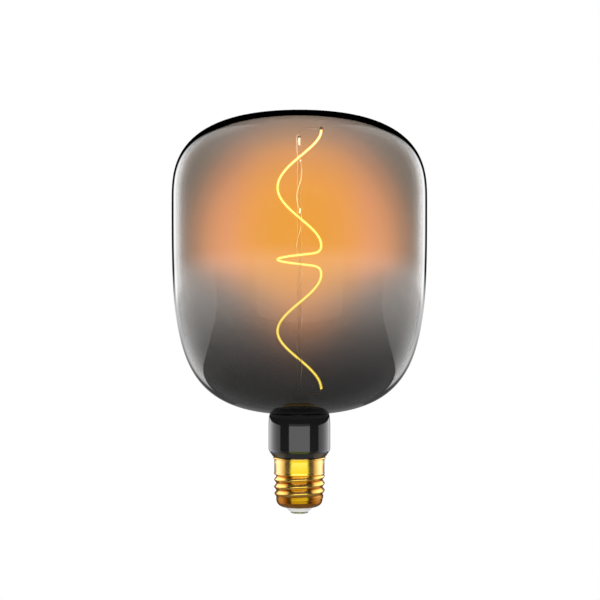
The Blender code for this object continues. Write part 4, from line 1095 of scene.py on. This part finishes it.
across = math_node(tree, "ABSOLUTE", direction.outputs["X"])
ahead = math_node(tree, "MULTIPLY", direction.outputs["Y"], -1.0)
azimuth = math_node(tree, "DEGREES", math_node(tree, "ARCTAN2", across, ahead))
climb = math_node(tree, "DEGREES", math_node(tree, "ARCSINE", direction.outputs["Z"]))
haze = shade_by(climb, -60.0, 0.0, [
    (-60.0, 0.28), (-30.0, 0.25), (-20.0, 0.12), (-12.0, 0.20), (-6.0, 0.50), (-2.5, 1.0), (0.0, 1.0)])
front_foot = math_node(tree, "MULTIPLY_ADD", ahead, 0.335, direction.outputs["Z"])
front = math_node(tree, "MULTIPLY", soft_step(azimuth, 40.5, 37.5), soft_step(front_foot, -0.006, 0.016))
front = math_node(tree, "MULTIPLY", front, front_level)
side_foot = shade_by(azimuth, 80.0, 160.0, [
    (80.0, 0.30), (84.0, 0.42), (97.0, 0.63), (119.0, 0.80), (160.0, 0.78)])
side_foot = math_node(tree, "MULTIPLY_ADD", side_foot, 30.0, climb)
side = math_node(tree, "MULTIPLY", soft_step(azimuth, 79.0, 81.0), soft_step(side_foot, -0.5, 0.7))
side = math_node(tree, "MULTIPLY", side, shade_by(azimuth, 80.0, 160.0, [
    (80.0, 0.40), (110.0, 0.55), (130.0, 0.85), (148.0, 1.0), (156.0, 0.5), (160.0, 0.0)]))
side = math_node(tree, "MULTIPLY", side, shade_by(climb, -30.0, 0.0, [
    (-30.0, 1.0), (-14.0, 1.0), (-8.0, 0.7), (-3.0, 0.42), (0.0, 0.35)]))
low_light = math_node(tree, "MULTIPLY_ADD", side, side_level, front)
low_light = math_node(tree, "MULTIPLY_ADD", haze, haze_level, low_light)
low_light = math_node(tree, "MULTIPLY", low_light, soft_step(climb, 0.8, -1.8))
rim = shade_by(azimuth, 100.0, 160.0, [
    (100.0, 0.0), (112.0, 0.03), (122.0, 0.17), (131.0, 0.48), (140.0, 0.92), (147.0, 1.0),
    (152.0, 0.95), (157.0, 0.0), (160.0, 0.0)])
rim = math_node(tree, "MULTIPLY", rim, shade_by(climb, -10.0, 80.0, [
    (-10.0, 0.0), (-3.0, 0.0), (0.0, 0.9), (8.0, 1.0), (18.0, 0.7), (32.0, 0.32), (48.0, 0.22),
    (62.0, 0.0)]))
reflected = math_node(tree, "MULTIPLY_ADD", rim, rim_level, low_light)
ray = add_node(tree, "LightPath")
seen = blend(tree, ray.outputs["Is Glossy Ray"], (1, 1, 1, 1), reflected)
tree.links.new(seen, tree.nodes["Background"].inputs["Color"])

# A small tent of reflector cards round the cap, seen only in reflections from within: a card in
# front that is gold beneath and white above, a white card at each side, and grey lids.
tent = skin("cap_tent", turned([(0.0, tent_foot), (tent_radius, tent_foot), (tent_radius, tent_roof),
                                (0.0, tent_roof)], 96))
card, tree = bare_finish("reflector_cards")
coords = add_node(tree, "TexCoord").outputs["Object"]
place = add_node(tree, "SeparateXYZ", {"Vector": coords})
around = math_node(
    tree, "ARCTAN2", math_node(tree, "ABSOLUTE", place.outputs["X"]),
    math_node(tree, "MULTIPLY", place.outputs["Y"], -1.0))
around = math_node(tree, "DEGREES", around)
card_height = place.outputs["Z"]
front_card = math_node(
    tree, "MULTIPLY", soft_step(around, 31.5, 29.0),
    math_node(tree, "MULTIPLY_ADD", soft_step(card_height, 0.0456, 0.0450), 1.7, 0.4))
front_card = math_node(tree, "MULTIPLY", front_card, soft_step(card_height, 0.0478, 0.0472))
side_card = math_node(tree, "MULTIPLY", soft_step(around, 58.5, 61.0), shade_by(around, 60.0, 140.0, [
    (60.0, 0.45), (80.0, 0.70), (100.0, 1.0), (116.0, 1.0), (128.0, 0.7), (136.0, 0.0)]))
card_top = math_node(tree, "MULTIPLY_ADD", around, 0.000043, 0.0429)
side_card = math_node(tree, "MULTIPLY", side_card, soft_step(
    math_node(tree, "SUBTRACT", card_top, card_height), -0.0002, 0.0003))
upper = math_node(tree, "MULTIPLY_ADD", side_card, 2.3, front_card)
round_share = add_node(tree, "MapRange", {"Value": around, "From Min": 36.0, "From Max": 150.0})
lower = graded(tree, round_share.outputs["Result"], [
    ((at - 36.0) / 114.0, tuple(part / 4 for part in colour) + (1.0,)) for at,
    colour in [
        (36.0, (0.10, 0.10, 0.15)), (46.0, (0.12, 0.13, 0.22)), (54.0, (0.22, 0.20, 0.22)),
        (62.0, (0.75, 0.65, 0.50)), (70.0, (0.90, 0.90, 0.95)), (80.0, (1.30, 1.52, 2.40)),
        (106.0, (1.35, 1.62, 2.90)), (117.0, (0.70, 0.66, 0.64)), (127.0, (0.30, 0.26, 0.24)),
        (150.0, (0.05, 0.05, 0.05))]], 'CARDINAL')
lower = add_node(tree, "VectorMath", {0: lower, "Scale": 4.0}, operation="SCALE")
warm_foot = blend(
    tree, soft_step(card_height, 0.0150, 0.0168), (0.62, 0.45, 0.20, 1.0), (1.0, 1.0, 1.0, 1.0))
lower = add_node(tree, "VectorMath", {0: lower.outputs["Vector"], 1: warm_foot}, operation="MULTIPLY")
low_card = blend(tree, soft_step(around, 37.5, 32.0), lower.outputs["Vector"], (1.02, 1.25, 0.10, 1.0))
wall = blend(tree, soft_step(
    card_height, card_split - card_split_ease, card_split + card_split_ease), low_card, upper)
lids = add_node(tree, "NewGeometry")
lid = math_node(tree, "ABSOLUTE", add_node(
    tree, "SeparateXYZ", {"Vector": lids.outputs["True Normal"]}).outputs["Z"])
lid_level = add_node(tree, "MapRange", {"Value": card_height, "From Min": 0.0, "From Max": 0.03,
                                        "To Min": 0.26, "To Max": 0.10})
inside_tent = blend(tree, lid, wall, lid_level.outputs["Result"])
ray = add_node(tree, "LightPath")
entered = math_node(tree, "GREATER_THAN", ray.outputs["Transparent Depth"], 0.5)
seen_card = blend(tree, entered, inside_tent, (0.30, 0.30, 0.30, 1.0))
shine = add_node(tree, "Emission", {"Color": seen_card})
unseen = add_node(tree, "BsdfTransparent")
shown = math_node(tree, "MULTIPLY", lids.outputs["Backfacing"], ray.outputs["Is Glossy Ray"])
mix = add_node(tree, "MixShader", {0: shown, 1: unseen.outputs["BSDF"], 2: shine.outputs["Emission"]})
show(tree, mix.outputs["Shader"])
tent.data.materials.append(card)
tent.visible_camera = tent.visible_diffuse = tent.visible_shadow = tent.visible_transmission = False

soft_light = bpy.data.lights.new("soft_box", 'AREA')
soft_light.energy = 6.0
soft_light.size = 0.9
soft_box = bpy.data.objects.new("soft_box", soft_light)
soft_box.location = (0.7, -0.9, 1.1)
soft_box.rotation_euler = (math.radians(48), 0, math.radians(38))
soft_box.visible_glossy = False
bpy.context.scene.collection.objects.link(soft_box)


def wire_lamp(name, height):
    """A small white lamp inside the globe that stands for the filament's light on the wires."""
    light = bpy.data.lights.new(name, 'POINT')
    light.energy = wire_light
    light.color = (0.93, 0.96, 1.0)
    light.shadow_soft_size = 0.002
    lamp = bpy.data.objects.new(name, light)
    lamp.location = (-0.010, -0.022, height)
    lamp.visible_camera = False
    lamp.light_linking.receiver_collection = wires_only
    bpy.context.scene.collection.objects.link(lamp)


wires_only = bpy.data.collections.new("wires_only")
for name in ("hook_wire", "rod_winding", "steatite_bead", "glass_rod", "rod_lead", "anchor_ring"):
    wires_only.objects.link(bpy.data.objects[name])
wire_lamp("upper_filament_light", 0.182)
wire_lamp("middle_filament_light", 0.156)

camera_data = bpy.data.cameras.new("camera")
camera_data.lens = 95.7
camera_data.shift_x = 0.001
camera = bpy.data.objects.new("camera", camera_data)
camera.location = (0.0, -camera_distance, camera_height)
camera.rotation_euler = (math.pi / 2, 0, 0)
bpy.context.scene.collection.objects.link(camera)
bpy.context.scene.camera = camera
bpy.context.scene.view_settings.view_transform = 'Standard'
